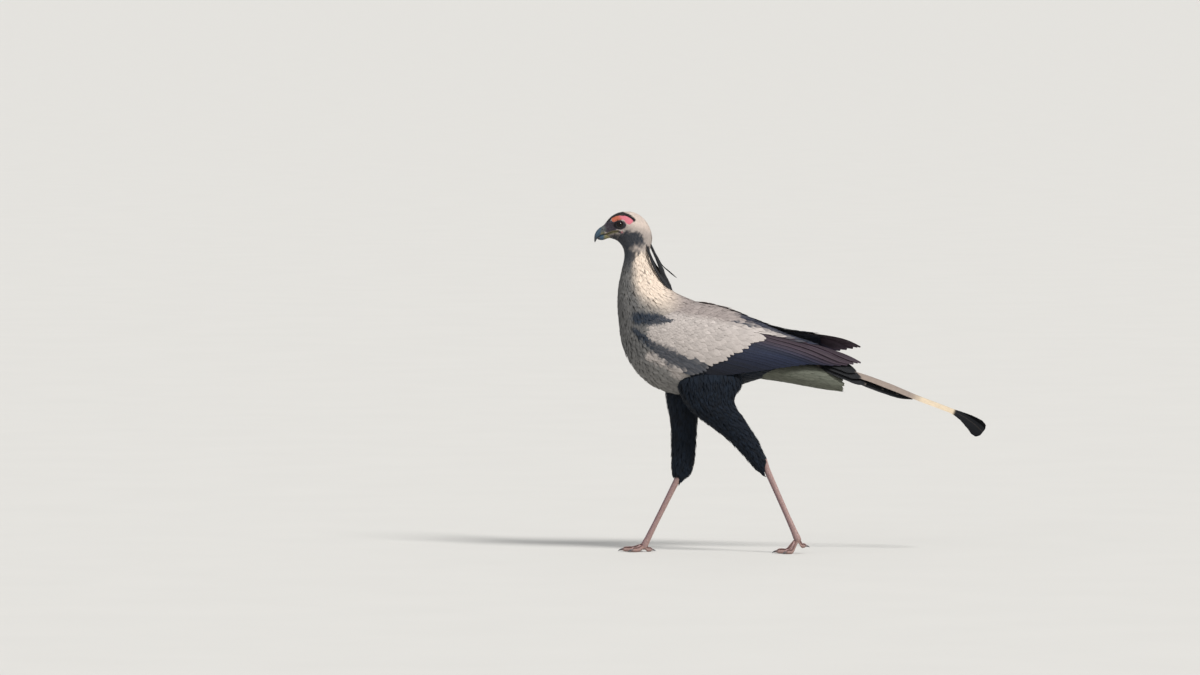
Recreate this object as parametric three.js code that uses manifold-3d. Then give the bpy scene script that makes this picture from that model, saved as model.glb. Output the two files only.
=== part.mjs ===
// A secretary bird, life size, walking: the solids of its body parts.
// Millimetres, +Z up. The bird faces -X, its left side is -Y, and the ground is Z = 0.
import * as THREE from 'three';
import { mergeVertices } from 'three/addons/utils/BufferGeometryUtils.js';
import Module from 'manifold-3d';

const wasm = await Module();
wasm.setup();

// Driving sizes
const TARSUS = 298; // bare shank, heel joint to toe joint
const EYE_RADIUS = 11.5;
const FOOT_OUT = 46; // each foot's middle line from the bird's own
const GAP = 0.6; // how far a neighbour is grown before it cuts a piece
const PART_CUT = 0.4; // width of the cuts that part one shape into named pieces
const LEFT = -1;
const RIGHT = 1;

// How finely the surfaces are divided
const BODY_SIDES = 16;
const LIMB_SIDES = 12;
const TOE_SIDES = 8;
const TOE_RINGS = 6;
const RINGS_PER_STATION = 2;
const WING_GRID = [20, 7]; // steps along the wing and down it

// Colours, roughness
const PALE_GREY = { color: 0xb9b1aa, roughness: 0.8 };
const BUFF_GREY = { color: 0xcdbfb1, roughness: 0.8 };
const FLIGHT_BLACK = { color: 0x2b2b33, roughness: 0.6 };
const THIGH_BLACK = { color: 0x14161d, roughness: 0.8 };
const UNDERTAIL_WHITE = { color: 0xc9c6ba, roughness: 0.85 };
const PLUME_CREAM = { color: 0xd8ccba, roughness: 0.7 };
const LEG_SKIN = { color: 0xb79a90, roughness: 0.55 };
const HORN_BLUE = { color: 0x5d6c78, roughness: 0.35 };
const HORN_PALE = { color: 0x8d8468, roughness: 0.4 };
const CLAW_BLACK = { color: 0x1d1b1a, roughness: 0.35 };
const EYE_BROWN = { color: 0x2a1c14, roughness: 0.1 };

// Outlines in the bird's own plane: back and front are [x, z], half is the half width.
const BODY = [
  { at: 'cere', back: [-318, 1083], front: [-314, 1042], half: 12 },
  { at: 'lores', back: [-290, 1113], front: [-288, 1037], half: 24 },
  { at: 'brow', back: [-256, 1126], front: [-270, 1028], half: 31 },
  { at: 'crown', back: [-213, 1122], front: [-256, 1011], half: 35 },
  { at: 'nape', back: [-177, 1093], front: [-250, 991], half: 36 },
  { at: 'throat', back: [-158, 1042], front: [-251, 966], half: 34 },
  { at: 'neck', back: [-166, 976], front: [-260, 927], half: 37 },
  { at: 'neck base', back: [-132, 905], front: [-271, 862], half: 50 },
  { at: 'shoulder', back: [-85, 862], front: [-270, 780], half: 67 },
  { at: 'breast', back: [-15, 830], front: [-246, 655], half: 83 },
  { at: 'keel', back: [70, 800], front: [-165, 556], half: 91 },
  { at: 'belly', back: [155, 752], front: [-40, 520], half: 86 },
  { at: 'flank', back: [240, 702], front: [95, 545], half: 68 },
  { at: 'rump', back: [315, 676], front: [262, 594], half: 43 },
  { at: 'tail root', back: [378, 655], front: [366, 618], half: 22 },
];
const NECK_FROM = 4.6; // station numbers where the body is parted
const NECK_TO = 8.0;

const UPPER_BILL = [
  { at: 'base', back: [-312, 1088], front: [-306, 1056], half: 12 },
  { at: 'cere', back: [-325, 1077], front: [-319, 1051], half: 10 },
  { at: 'middle', back: [-338, 1066], front: [-331, 1048], half: 7.5 },
  { at: 'hook', back: [-347, 1050], front: [-338, 1044], half: 5 },
  { at: 'tip', back: [-348, 1028], front: [-345, 1027], half: 1 },
];
const LOWER_BILL = [
  { at: 'base', back: [-308, 1055], front: [-306, 1038], half: 10.5 },
  { at: 'middle', back: [-322, 1049], front: [-321, 1033], half: 8.5 },
  { at: 'tip', back: [-336, 1043], front: [-337, 1037], half: 3.5 },
];

const NEAR_THIGH = [
  { at: 'hip', back: [130, 620], front: [-70, 600], half: 46 },
  { at: 'thigh', back: [139, 560], front: [-72, 540], half: 48 },
  { at: 'knee', back: [112, 502], front: [-30, 470], half: 44 },
  { at: 'calf', back: [146, 442], front: [52, 407], half: 35 },
  { at: 'trouser', back: [190, 374], front: [118, 350], half: 27 },
  { at: 'heel', back: [216, 310], front: [181, 280], half: 19 },
  { at: 'tuft', back: [215, 288], front: [196, 268], half: 9 },
];
const FAR_THIGH = [
  { at: 'hip', back: [40, 600], front: [-105, 600], half: 44 },
  { at: 'thigh', back: [8, 520], front: [-112, 515], half: 44 },
  { at: 'calf', back: [-8, 430], front: [-97, 430], half: 36 },
  { at: 'trouser', back: [-13, 345], front: [-94, 340], half: 29 },
  { at: 'heel', back: [-26, 266], front: [-92, 262], half: 20 },
  { at: 'tuft', back: [-52, 238], front: [-78, 236], half: 9 },
];

const NEAR_HEEL = [202, 318]; // heel joints, and where the shanks point
const NEAR_SHANK_LEAN = 23.8; // degrees from plumb, foot behind
const FAR_HEEL = [-52, 284];
const FAR_SHANK_LEAN = -26.5; // foot ahead

const TAIL = [
  { at: 'root', back: [352, 668], front: [340, 622], half: 26 },
  { at: 'fan', back: [470, 628], front: [455, 578], half: 38 },
  { at: 'band', back: [590, 573], front: [580, 540], half: 38 },
  { at: 'end', back: [702, 522], front: [700, 511], half: 24 },
];
const UNDERTAIL = [
  { at: 'vent', back: [165, 640], front: [140, 582], half: 40 },
  { at: 'middle', back: [270, 634], front: [262, 566], half: 42 },
  { at: 'rear', back: [380, 608], front: [380, 546], half: 34 },
  { at: 'end', back: [462, 560], front: [462, 535], half: 18 },
];

// Wing edges: top and low are [x, out, z], and bulge is how far out the wing stands between them.
const WING = [
  { at: 'bend', top: [-178, 56, 790], low: [-214, 58, 744], bulge: 66 },
  { at: 'shoulder', top: [-120, 34, 818], low: [-152, 78, 664], bulge: 86 },
  { at: 'arm', top: [-30, 14, 829], low: [-58, 88, 606], bulge: 99 },
  { at: 'elbow', top: [70, 8, 814], low: [48, 90, 586], bulge: 101 },
  { at: 'flank', top: [165, 8, 778], low: [158, 84, 598], bulge: 93 },
  { at: 'rump', top: [270, 10, 730], low: [272, 68, 612], bulge: 75 },
  { at: 'tail', top: [362, 12, 698], low: [366, 52, 622], bulge: 57 },
  { at: 'tips', top: [450, 14, 668], low: [456, 36, 609], bulge: 41 },
  { at: 'end', top: [522, 16, 638], low: [545, 22, 598], bulge: 25 },
];
const WING_THICK = [13, 5]; // at the coverts and at the feather tips
const FAR_WING_LIFT = 40; // the far wing's tip is carried higher
const COVERT_EDGE = [[16, 608], [243, 727]]; // [x, z] of two points on the pale coverts' lower edge

// Long feathers: middle line points are [x, out, z], wide is the full width at each.
const PLUME_LINE = [
  [400, 14, 624], [532, 15, 586], [625, 15, 552], [718, 14, 513], [839, 12, 466], [895, 10, 433], [934, 8, 399],
];
const PLUME_WIDE = [26, 34, 36, 36, 36, 66, 24];
const PLUME_THICK = 3;
const PLUME_ROLL = [0.25, 0.95]; // radians at the root and at the tip
const CREST_THICK = 2.4;
const CREST_LINES = [
  [[-170, 8, 1062], [-160, 11, 1010], [-140, 12, 940], [-98, 10, 866]],
  [[-168, -8, 1064], [-152, -11, 1012], [-130, -12, 946], [-96, -12, 880]],
  [[-166, 0, 1068], [-142, 1, 1014], [-112, 2, 958], [-72, 3, 908]],
];
const CREST_WIDE = [7, 11, 12, 13, 6];
const CREST_ROLL = [0.2, 0.5];

// Toes: turn is in degrees from straight ahead, outwards; length is without the claw, thick is a radius.
const TOES = [
  { name: 'inner', turn: -37, length: 50, thick: 7.4, claw: 20 },
  { name: 'middle', turn: 2, length: 70, thick: 7.8, claw: 20 },
  { name: 'outer', turn: 40, length: 52, thick: 7.2, claw: 18 },
  { name: 'hind', turn: 172, length: 26, thick: 6.8, claw: 18 },
];
const SOLE_FLAT = 1.6; // how deep the flat on each toe's underside is cut
const HIND_DROP = 20; // the hind toe hangs no further than this below the toe joint
const CLAW_BEND = 1.15; // radians a claw curves down by

// Distances along a shank from the heel joint, and the half depth at each.
const SHANK_REACH = [-14, -6, 6, 22, 45, 120, 210, 270, 288, TARSUS + 4, TARSUS + 10];
const SHANK_DEPTH = [6, 13, 15, 13, 10.2, 9.2, 8.8, 10, 11.5, 11, 6];
const SHANK_FLATTENED = 0.82; // its width against its depth

const vec = (x, y, z) => new THREE.Vector3(x, y, z);

// A smooth line through the points, one unit of u for each step between them.
function through(points) {
  const curve = new THREE.CatmullRomCurve3(points, false, 'catmullrom', 0.5);
  return (u) => curve.getPoint(u / (points.length - 1));
}

function numbersThrough(values) {
  const line = through(values.map((v) => vec(v, 0, 0)));
  return (u) => line(u).x;
}

// A closed surface over rings of points, with a cap at each end.
function skinOver(rings) {
  const count = rings[0].length;
  const points = rings.flat();
  const index = [];
  for (let r = 0; r + 1 < rings.length; r++) {
    for (let i = 0; i < count; i++) {
      const a = r * count + i;
      const b = r * count + ((i + 1) % count);
      index.push(a, b, b + count, a, b + count, a + count);
    }
  }
  for (const [r, flip] of [[0, true], [rings.length - 1, false]]) {
    const middle = rings[r].reduce((sum, p) => sum.add(p), vec(0, 0, 0)).divideScalar(count);
    const m = points.push(middle) - 1;
    for (let i = 0; i < count; i++) {
      const a = r * count + i;
      const b = r * count + ((i + 1) % count);
      index.push(...(flip ? [b, a, m] : [a, b, m]));
    }
  }
  const geometry = new THREE.BufferGeometry().setFromPoints(points);
  geometry.setIndex(enclosed(points, index) < 0 ? turned(index) : index);
  return geometry;
}

// Six times the volume inside the triangles, negative where they face inwards.
function enclosed(points, index) {
  let sum = 0;
  for (let i = 0; i < index.length; i += 3) {
    const [a, b, c] = [points[index[i]], points[index[i + 1]], points[index[i + 2]]];
    sum += a.dot(b.clone().cross(c));
  }
  return sum;
}

function turned(index) {
  const back = [...index];
  for (let i = 0; i < back.length; i += 3) [back[i + 1], back[i + 2]] = [back[i + 2], back[i + 1]];
  return back;
}

// The surface moved outwards by distance, which leaves a gap round what it cuts.
function grown(geometry, distance) {
  const bigger = geometry.clone();
  bigger.computeVertexNormals();
  const at = bigger.getAttribute('position');
  const normal = bigger.getAttribute('normal');
  for (let i = 0; i < at.count; i++) {
    const p = vec().fromBufferAttribute(at, i);
    p.addScaledVector(vec().fromBufferAttribute(normal, i), distance);
    at.setXYZ(i, p.x, p.y, p.z);
  }
  return bigger;
}

function solid(geometry) {
  const bare = new THREE.BufferGeometry();
  bare.setAttribute('position', geometry.getAttribute('position'));
  bare.setIndex(geometry.getIndex());
  const merged = mergeVertices(bare, 1e-4);
  return new wasm.Manifold(new wasm.Mesh({
    numProp: 3,
    vertProperties: merged.getAttribute('position').array,
    triVerts: new Uint32Array(merged.getIndex().array),
  }));
}

// The piece less its neighbours, each grown by the gap; slivers that come loose are dropped.
function carved(piece, ...neighbours) {
  const left = neighbours.reduce((rest, n) => rest.subtract(solid(grown(n, GAP))), piece);
  return largest(left);
}

function largest(piece) {
  return piece.decompose().sort((a, b) => b.volume() - a.volume())[0];
}

// A body between two outlines: rings are ovals that hang between the back and the front lines.
function outlineBody(stations, out = 0, sides = LIMB_SIDES) {
  const back = through(stations.map((s) => vec(s.back[0], 0, s.back[1])));
  const front = through(stations.map((s) => vec(s.front[0], 0, s.front[1])));
  const half = numbersThrough(stations.map((s) => s.half));
  const steps = (stations.length - 1) * RINGS_PER_STATION;
  const rings = [];
  for (let r = 0; r <= steps; r++) {
    const u = r / RINGS_PER_STATION;
    const [b, f, w] = [back(u), front(u), half(u)];
    const middle = b.clone().add(f).multiplyScalar(0.5);
    const up = b.clone().sub(f).multiplyScalar(0.5);
    rings.push(Array.from({ length: sides }, (_, i) => {
      const angle = (2 * Math.PI * i) / sides;
      const p = middle.clone().addScaledVector(up, Math.cos(angle));
      return p.add(vec(0, out + w * Math.sin(angle), 0));
    }));
  }
  return skinOver(rings);
}

// A feather blade along a line: a flat six-sided section, rolled about the line.
function blade(line, wide, thick, rollFrom, rollTo, side, steps) {
  const points = through(line.map((p) => vec(p[0], side * p[1], p[2])));
  const width = numbersThrough(wide);
  const last = line.length - 1;
  const rings = [];
  for (let r = 0; r <= steps; r++) {
    const u = (last * r) / steps;
    const here = points(u);
    const ahead = points(Math.min(u + 0.02, last)).sub(points(Math.max(u - 0.02, 0))).normalize();
    const roll = rollFrom + (rollTo - rollFrom) * (r / steps) ** 2;
    const flat = vec(0, side, 0).applyAxisAngle(ahead, -side * roll);
    const face = ahead.clone().cross(flat).normalize();
    const w = width((u / last) * (wide.length - 1)) / 2;
    const t = thick / 2;
    const flatPart = 0.6 * w;
    const section = [[w, 0], [flatPart, t], [-flatPart, t], [-w, 0], [-flatPart, -t], [flatPart, -t]];
    rings.push(section.map(([a, b]) => here.clone().addScaledVector(flat, a).addScaledVector(face, b)));
  }
  return skinOver(rings);
}

// The wing's outer face at u along it and v down it: an arch from the top edge to the low edge.
function wingFace(side, lift) {
  const top = through(WING.map((s) => vec(...s.top)));
  const low = through(WING.map((s) => vec(...s.low)));
  const bulge = numbersThrough(WING.map((s) => s.bulge));
  return (u, v) => {
    const [a, d] = [top(u), low(u)];
    const raised = lift * THREE.MathUtils.smoothstep(a.x, 150, 520);
    const reach = (8 * bulge(u) - a.y - d.y) / 6;
    const b = a.clone().lerp(d, 0.12);
    const c = a.clone().lerp(d, 0.6);
    b.y = reach;
    c.y = reach;
    const p = new THREE.CubicBezierCurve3(a, b, c, d).getPoint(v);
    return vec(p.x, side * p.y, p.z + raised);
  };
}

// The wing as one shell: the outer face, and an inner face set in by the thickness.
function wingShell(side, lift) {
  const face = wingFace(side, lift);
  const [long, down] = WING_GRID;
  const last = WING.length - 1;
  const rings = [];
  for (let r = 0; r <= long; r++) {
    const u = (last * r) / long;
    const thick = THREE.MathUtils.lerp(WING_THICK[0], WING_THICK[1], THREE.MathUtils.smoothstep(u, 3.5, 6.5));
    const outer = [];
    const inner = [];
    for (let i = 0; i <= down; i++) {
      const v = i / down;
      const p = face(u, v);
      const along = face(Math.min(u + 0.05, last), v).sub(face(Math.max(u - 0.05, 0), v));
      const across = face(u, Math.min(v + 0.03, 1)).sub(face(u, Math.max(v - 0.03, 0)));
      const inward = along.cross(across).normalize().multiplyScalar(side);
      const edge = Math.min(1, 0.25 + 2.2 * Math.min(v, 1 - v, 0.4), 0.3 + r / 3, 0.3 + (long - r) / 4);
      outer.push(p);
      inner.unshift(p.clone().addScaledVector(inward, thick * edge));
    }
    rings.push([...outer, ...inner]);
  }
  return skinOver(rings);
}

// A shank: an oval shaft with a knuckle at each end.
function shank(heel, lean, side) {
  const angle = THREE.MathUtils.degToRad(lean);
  const down = vec(Math.sin(angle), 0, -Math.cos(angle));
  const start = vec(heel[0], side * FOOT_OUT, heel[1]);
  const ahead = vec(-Math.cos(angle), 0, -Math.sin(angle));
  const rings = SHANK_REACH.map((distance, r) => Array.from({ length: LIMB_SIDES }, (_, i) => {
    const turn = (2 * Math.PI * i) / LIMB_SIDES;
    const p = start.clone().addScaledVector(down, distance);
    p.addScaledVector(ahead, SHANK_DEPTH[r] * Math.cos(turn));
    return p.add(vec(0, SHANK_FLATTENED * SHANK_DEPTH[r] * Math.sin(turn), 0));
  }));
  const foot = start.clone().addScaledVector(down, TARSUS);
  return { geometry: skinOver(rings), foot };
}

// A toe: from the toe joint down to the ground and along it, with a pad under each joint, and its claw.
function toe(foot, side, spec) {
  const turn = THREE.MathUtils.degToRad(spec.turn);
  const ahead = vec(-Math.cos(turn), side * Math.sin(turn), 0);
  const across = vec(0, 0, 1).cross(ahead).normalize();
  const hind = spec.name === 'hind';
  const raised = foot.z - 1;
  const low = Math.max(spec.thick - SOLE_FLAT, hind ? raised - HIND_DROP : 0);
  const line = [0, 0.25, 0.5, 0.75, 1].map((k) => {
    const drop = THREE.MathUtils.smoothstep(k, 0, 0.5);
    const height = THREE.MathUtils.lerp(raised, low, drop);
    return foot.clone().setZ(height).addScaledVector(ahead, k * spec.length);
  });
  const ring = (p, r) => Array.from({ length: TOE_SIDES }, (_, i) => {
    const a = (2 * Math.PI * i) / TOE_SIDES;
    return p.clone().addScaledVector(across, r * Math.sin(a)).add(vec(0, 0, r * Math.cos(a)));
  });
  const points = through(line);
  const rings = [];
  for (let r = 0; r <= TOE_RINGS; r++) {
    const k = r / TOE_RINGS;
    const pad = 1 + 0.07 * Math.cos(TOE_RINGS * Math.PI * k);
    const end = r === TOE_RINGS ? 0.62 : 1;
    rings.push(ring(points(k * 4), spec.thick * (1 - 0.2 * k) * pad * end));
  }
  const clawRings = [0, 0.35, 0.7, 1].map((k) => {
    const bend = k * CLAW_BEND;
    const p = line[4].clone().addScaledVector(ahead, -3 + spec.claw * Math.sin(bend));
    p.z += 1.5 - 0.45 * spec.claw * (1 - Math.cos(bend));
    return ring(p, spec.thick * 0.5 * (1 - k) + 0.7);
  });
  return { toe: skinOver(rings), claw: skinOver(clawRings) };
}

// A block that holds everything on the head's side of a body section, moved along by shift.
function headSide(u, shift) {
  const back = through(BODY.map((s) => vec(s.back[0], 0, s.back[1])))(u);
  const front = through(BODY.map((s) => vec(s.front[0], 0, s.front[1])))(u);
  const along = back.clone().sub(front).normalize();
  const size = 1400;
  const block = new THREE.BoxGeometry(size, size, size);
  const tailward = along.clone().cross(vec(0, 1, 0)).normalize().negate();
  const basis = new THREE.Matrix4().makeBasis(along, vec(0, -1, 0), tailward);
  block.applyMatrix4(basis);
  const middle = back.add(front).multiplyScalar(0.5);
  block.translate(...middle.addScaledVector(tailward, shift - size / 2).toArray());
  return solid(block);
}

// A block on the coverts' side of their lower edge, moved away from the flight feathers by shift.
function covertSide(shift, lift) {
  const [a, b] = COVERT_EDGE.map(([x, z]) => vec(x, 0, z + lift));
  const along = b.clone().sub(a).normalize();
  const up = vec(-along.z, 0, along.x);
  const size = 1600;
  const block = new THREE.BoxGeometry(size, size, size);
  block.applyMatrix4(new THREE.Matrix4().makeBasis(along, vec(0, 1, 0), up));
  block.translate(...a.addScaledVector(up, shift + size / 2).toArray());
  return solid(block);
}

function groundBlock() {
  const block = new THREE.BoxGeometry(3000, 600, 100);
  block.translate(0, 0, -50);
  return solid(block);
}

const bird = new THREE.Group();

function add(name, manifold, look) {
  const made = manifold.getMesh();
  const geometry = new THREE.BufferGeometry();
  const count = made.numProp;
  const points = new Float32Array(made.numVert * 3);
  for (let i = 0; i < made.numVert; i++) {
    points.set(made.vertProperties.subarray(i * count, i * count + 3), i * 3);
  }
  geometry.setAttribute('position', new THREE.BufferAttribute(points, 3));
  geometry.setIndex(new THREE.BufferAttribute(made.triVerts, 1));
  const mesh = new THREE.Mesh(geometry, new THREE.MeshStandardMaterial({ metalness: 0, ...look }));
  mesh.name = name;
  bird.add(mesh);
}

// Head, neck and trunk are one shape, parted by two thin cuts, with the eyes let into it.
const body = outlineBody(BODY, 0, BODY_SIDES);
const eyeCentre = (side) => vec(-264, side * 21.5, 1085);
const eyeBall = (side, radius) => {
  const ball = new THREE.SphereGeometry(radius, 14, 8);
  ball.translate(...eyeCentre(side).toArray());
  return ball;
};

function addBody() {
  const sockets = solid(eyeBall(LEFT, EYE_RADIUS + GAP)).add(solid(eyeBall(RIGHT, EYE_RADIUS + GAP)));
  const whole = solid(body).subtract(sockets);
  add('head', largest(whole.intersect(headSide(NECK_FROM, 0))), BUFF_GREY);
  const neck = whole.subtract(headSide(NECK_FROM, PART_CUT)).intersect(headSide(NECK_TO, 0));
  add('neck', largest(neck), BUFF_GREY);
  add('trunk', largest(whole.subtract(headSide(NECK_TO, PART_CUT))), PALE_GREY);
  add('eye_left', solid(eyeBall(LEFT, EYE_RADIUS)), EYE_BROWN);
  add('eye_right', solid(eyeBall(RIGHT, EYE_RADIUS)), EYE_BROWN);
}

function addBill() {
  const upper = outlineBody(UPPER_BILL);
  const lower = outlineBody(LOWER_BILL);
  add('bill_upper', carved(solid(upper), body), HORN_BLUE);
  add('bill_lower', carved(solid(lower), body, upper), HORN_PALE);
}

function addCrest() {
  const blades = CREST_LINES.map((line) => blade(line, CREST_WIDE, CREST_THICK, ...CREST_ROLL, RIGHT, 9));
  blades.forEach((b, i) => {
    add(`crest_plume_${i + 1}`, carved(solid(b), body, ...blades.slice(0, i)), THIGH_BLACK);
  });
}

const nearThigh = outlineBody(NEAR_THIGH, LEFT * (FOOT_OUT + 4));
const farThigh = outlineBody(FAR_THIGH, RIGHT * (FOOT_OUT + 4));
const nearWing = wingShell(LEFT, 0);
const farWing = wingShell(RIGHT, FAR_WING_LIFT);

function addWings() {
  const sides = [['left', nearWing, 0, nearThigh], ['right', farWing, 0, farThigh]];
  for (const [name, shell, lift, thigh] of sides) {
    const wing = carved(solid(shell), body, thigh);
    add(`wing_${name}_coverts`, largest(wing.intersect(covertSide(PART_CUT, lift))), PALE_GREY);
    add(`wing_${name}_flight`, largest(wing.subtract(covertSide(0, lift))), FLIGHT_BLACK);
  }
}

function addTail() {
  const under = outlineBody(UNDERTAIL);
  const fan = outlineBody(TAIL);
  const wings = [nearWing, farWing];
  add('undertail_coverts', carved(solid(under), body, ...wings, nearThigh, farThigh), UNDERTAIL_WHITE);
  const plumes = [LEFT, RIGHT].map((side) => blade(PLUME_LINE, PLUME_WIDE, PLUME_THICK, ...PLUME_ROLL, side, 18));
  add('tail_fan', carved(solid(fan), body, under, ...wings), FLIGHT_BLACK);
  const held = [body, under, fan, ...wings];
  add('tail_plume_left', carved(solid(plumes[0]), ...held), PLUME_CREAM);
  add('tail_plume_right', carved(solid(plumes[1]), ...held, plumes[0]), PLUME_CREAM);
}

function addLeg(name, side, thigh, heel, lean) {
  const ground = groundBlock();
  const { geometry, foot } = shank(heel, lean, side);
  add(`thigh_${name}`, carved(solid(thigh), body), THIGH_BLACK);
  add(`shank_${name}`, largest(carved(solid(geometry), thigh).subtract(ground)), LEG_SKIN);
  const made = [geometry];
  for (const spec of TOES) {
    const { toe: digit, claw } = toe(foot, side, spec);
    add(`toe_${name}_${spec.name}`, largest(carved(solid(digit), ...made).subtract(ground)), LEG_SKIN);
    add(`claw_${name}_${spec.name}`, largest(carved(solid(claw), digit).subtract(ground)), CLAW_BLACK);
    made.push(digit);
  }
}

addBody();
addBill();
addCrest();
addWings();
addTail();
addLeg('left', LEFT, nearThigh, NEAR_HEEL, NEAR_SHANK_LEAN);
addLeg('right', RIGHT, farThigh, FAR_HEEL, FAR_SHANK_LEAN);

// The origin is on the ground under the middle of the whole bird.
const whole = new THREE.Box3().setFromObject(bird);
bird.position.set(-(whole.min.x + whole.max.x) / 2, -(whole.min.y + whole.max.y) / 2, -whole.min.z);

export default bird;
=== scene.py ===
import math
from functools import partial

import bpy
import numpy as np
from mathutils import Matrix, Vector


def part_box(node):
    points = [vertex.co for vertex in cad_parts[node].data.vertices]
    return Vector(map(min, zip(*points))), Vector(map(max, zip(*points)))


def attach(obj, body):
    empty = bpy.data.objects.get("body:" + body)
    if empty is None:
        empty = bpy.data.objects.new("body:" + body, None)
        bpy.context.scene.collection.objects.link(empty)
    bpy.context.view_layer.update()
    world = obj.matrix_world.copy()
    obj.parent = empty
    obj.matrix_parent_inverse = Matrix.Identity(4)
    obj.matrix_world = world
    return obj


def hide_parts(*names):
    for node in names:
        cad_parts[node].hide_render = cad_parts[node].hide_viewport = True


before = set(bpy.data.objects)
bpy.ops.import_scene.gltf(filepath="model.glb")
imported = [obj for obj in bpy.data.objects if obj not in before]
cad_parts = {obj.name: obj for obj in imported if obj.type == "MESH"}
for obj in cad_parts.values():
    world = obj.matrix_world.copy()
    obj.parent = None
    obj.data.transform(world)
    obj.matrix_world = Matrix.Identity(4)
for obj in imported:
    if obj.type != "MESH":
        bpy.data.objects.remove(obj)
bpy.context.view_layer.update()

bl_info = {
    "name": "Secretary Bird",
    "version": (1, 0, 0),
    "blender": (4, 5, 0),
    "location": "3D View > Sidebar > Secretary Bird",
    "description": "Makes the skin, plumage, bill, eyes and feet of a life-size secretary bird",
    "category": "Object",
}

# Units and the frame: tables are in millimetres, x from the bird's own zero, and MIDDLE_X moves them.
MM = 0.001
EYE_X, EYE_OUT, EYE_Z, EYE_RADIUS = -264.0, 21.5, 1085.0, 11.5
EYE_LOW, EYE_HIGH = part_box("eye_left")
MIDDLE_X = (EYE_LOW.x + EYE_HIGH.x) / 2 - EYE_X * MM
LEFT, RIGHT = -1, 1
SIDES = ((LEFT, "left"), (RIGHT, "right"))

# Outlines in the bird's own plane: back x, back z, front x, front z, half width.
BODY = [
    (-318, 1083, -314, 1042, 12), (-290, 1113, -288, 1037, 24), (-256, 1126, -270, 1028, 31),
    (-213, 1122, -256, 1011, 35), (-177, 1093, -250, 991, 36), (-158, 1042, -251, 966, 34),
    (-166, 976, -260, 927, 37), (-132, 905, -271, 862, 50), (-85, 862, -270, 780, 67),
    (-15, 830, -246, 655, 83), (70, 800, -165, 556, 91), (155, 752, -40, 520, 86),
    (240, 702, 95, 545, 68), (315, 676, 262, 594, 43), (378, 655, 366, 618, 22),
]
COAT_DEPTH = [0.9, 2.2, 3, 4, 6, 8, 9, 10, 12, 12, 12, 11, 10, 8, 5]
UPPER_BILL = [
    (-300, 1096, -296, 1055, 13), (-312, 1087, -306, 1053, 12.4), (-325, 1078, -319, 1049, 10.6),
    (-339, 1066, -331, 1045, 8), (-347.5, 1051, -338, 1039, 5.4), (-349, 1034, -343, 1031, 2.6),
    (-348, 1026, -346.4, 1025, 0.8),
]
LOWER_BILL = [
    (-296, 1058, -292, 1040, 12), (-308, 1056, -306, 1037.5, 11), (-322, 1051, -321, 1032.5, 9),
    (-334, 1046, -335, 1034, 5.5), (-339, 1043, -339.5, 1038, 2.4),
]
NEAR_THIGH = [
    (130, 620, -70, 600, 46), (139, 560, -72, 540, 48), (112, 502, -30, 470, 44), (146, 442, 52, 407, 35),
    (190, 374, 118, 350, 27), (216, 310, 181, 280, 19), (215, 288, 196, 268, 9),
]
FAR_THIGH = [
    (40, 600, -105, 600, 44), (8, 520, -112, 515, 44), (-8, 430, -97, 430, 36), (-13, 345, -94, 340, 29),
    (-26, 266, -92, 262, 20), (-52, 238, -78, 236, 9),
]
UNDERTAIL = [
    (165, 640, 140, 582, 40), (270, 634, 262, 566, 42), (380, 622, 380, 545, 36), (462, 584, 462, 533, 24),
]
FOOT_OUT = 46
TARSUS = 298
HEELS = {LEFT: (202, 318, 23.8), RIGHT: (-52, 284, -26.5)}
SHANK_REACH = [-14, -6, 6, 22, 45, 120, 210, 270, 288, 302, 308]
SHANK_DEPTH = [6, 13, 15, 13, 10.2, 9.2, 8.8, 10, 11.5, 11, 6]
SHANK_FLATTENED = 0.82
# Toes: name, degrees out from straight ahead, length, radius, claw length.
TOES = [
    ("inner", -37, 50, 7.4, 20), ("middle", 2, 70, 7.8, 20),
    ("outer", 40, 52, 7.2, 18), ("hind", 172, 26, 6.8, 18),
]
SOLE_FLAT = 1.6
HIND_DROP = 20
CLAW_BEND = 1.15

# Wing edges: top x, out, z, low x, out, z, and how far out the wing stands between them.
WING = [
    (-178, 56, 790, -214, 58, 744, 66), (-120, 34, 818, -152, 78, 664, 86), (-30, 14, 829, -58, 88, 606, 99),
    (70, 8, 814, 48, 90, 586, 101), (165, 8, 778, 158, 84, 598, 93), (270, 10, 730, 272, 68, 612, 75),
    (362, 12, 698, 366, 52, 622, 57), (450, 14, 668, 456, 36, 609, 41), (522, 16, 638, 545, 22, 598, 25),
]
FAR_WING_LIFT = 50
# Coverts: low edge, slope in degrees, half width, how far up and along the edge they go, the rump's edge.
COVERT_EDGE = ((16, 608), (243, 727))
COVERT_LIE = -36
COVERT_HALF, COVERT_ROWS, COVERT_RUN = 13, 360, (-330, 420)
RUMP_EDGE = [(130, 782), (201, 748), (286, 718), (343, 694), (460, 655)]
# Tail pairs, outermost first: x of the tip, height over the fan's middle line, distance out.
TAIL_PAIRS = [(508, 14, 27), (524, 1, 25), (540, -13, 22), (600, -7, 8), (652, -6, 7), (702, -5, 6)]
TAIL_LINE = [(345, 650), (470, 604), (590, 553), (702, 514)]
PLUME = [
    (400, 14, 624), (532, 15, 586), (625, 15, 552), (718, 14, 513), (839, 12, 466), (895, 10, 433),
    (934, 8, 399),
]
# Half widths of a long tail feather: x, half width.
PLUME_WIDEST = 33
PLUME_HALF = [
    (400, 10), (532, 15), (620, 15), (718, 12), (832, 10.5), (862, 17), (890, 26), (916, PLUME_WIDEST),
    (928, 29), (934, 15),
]
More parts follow.
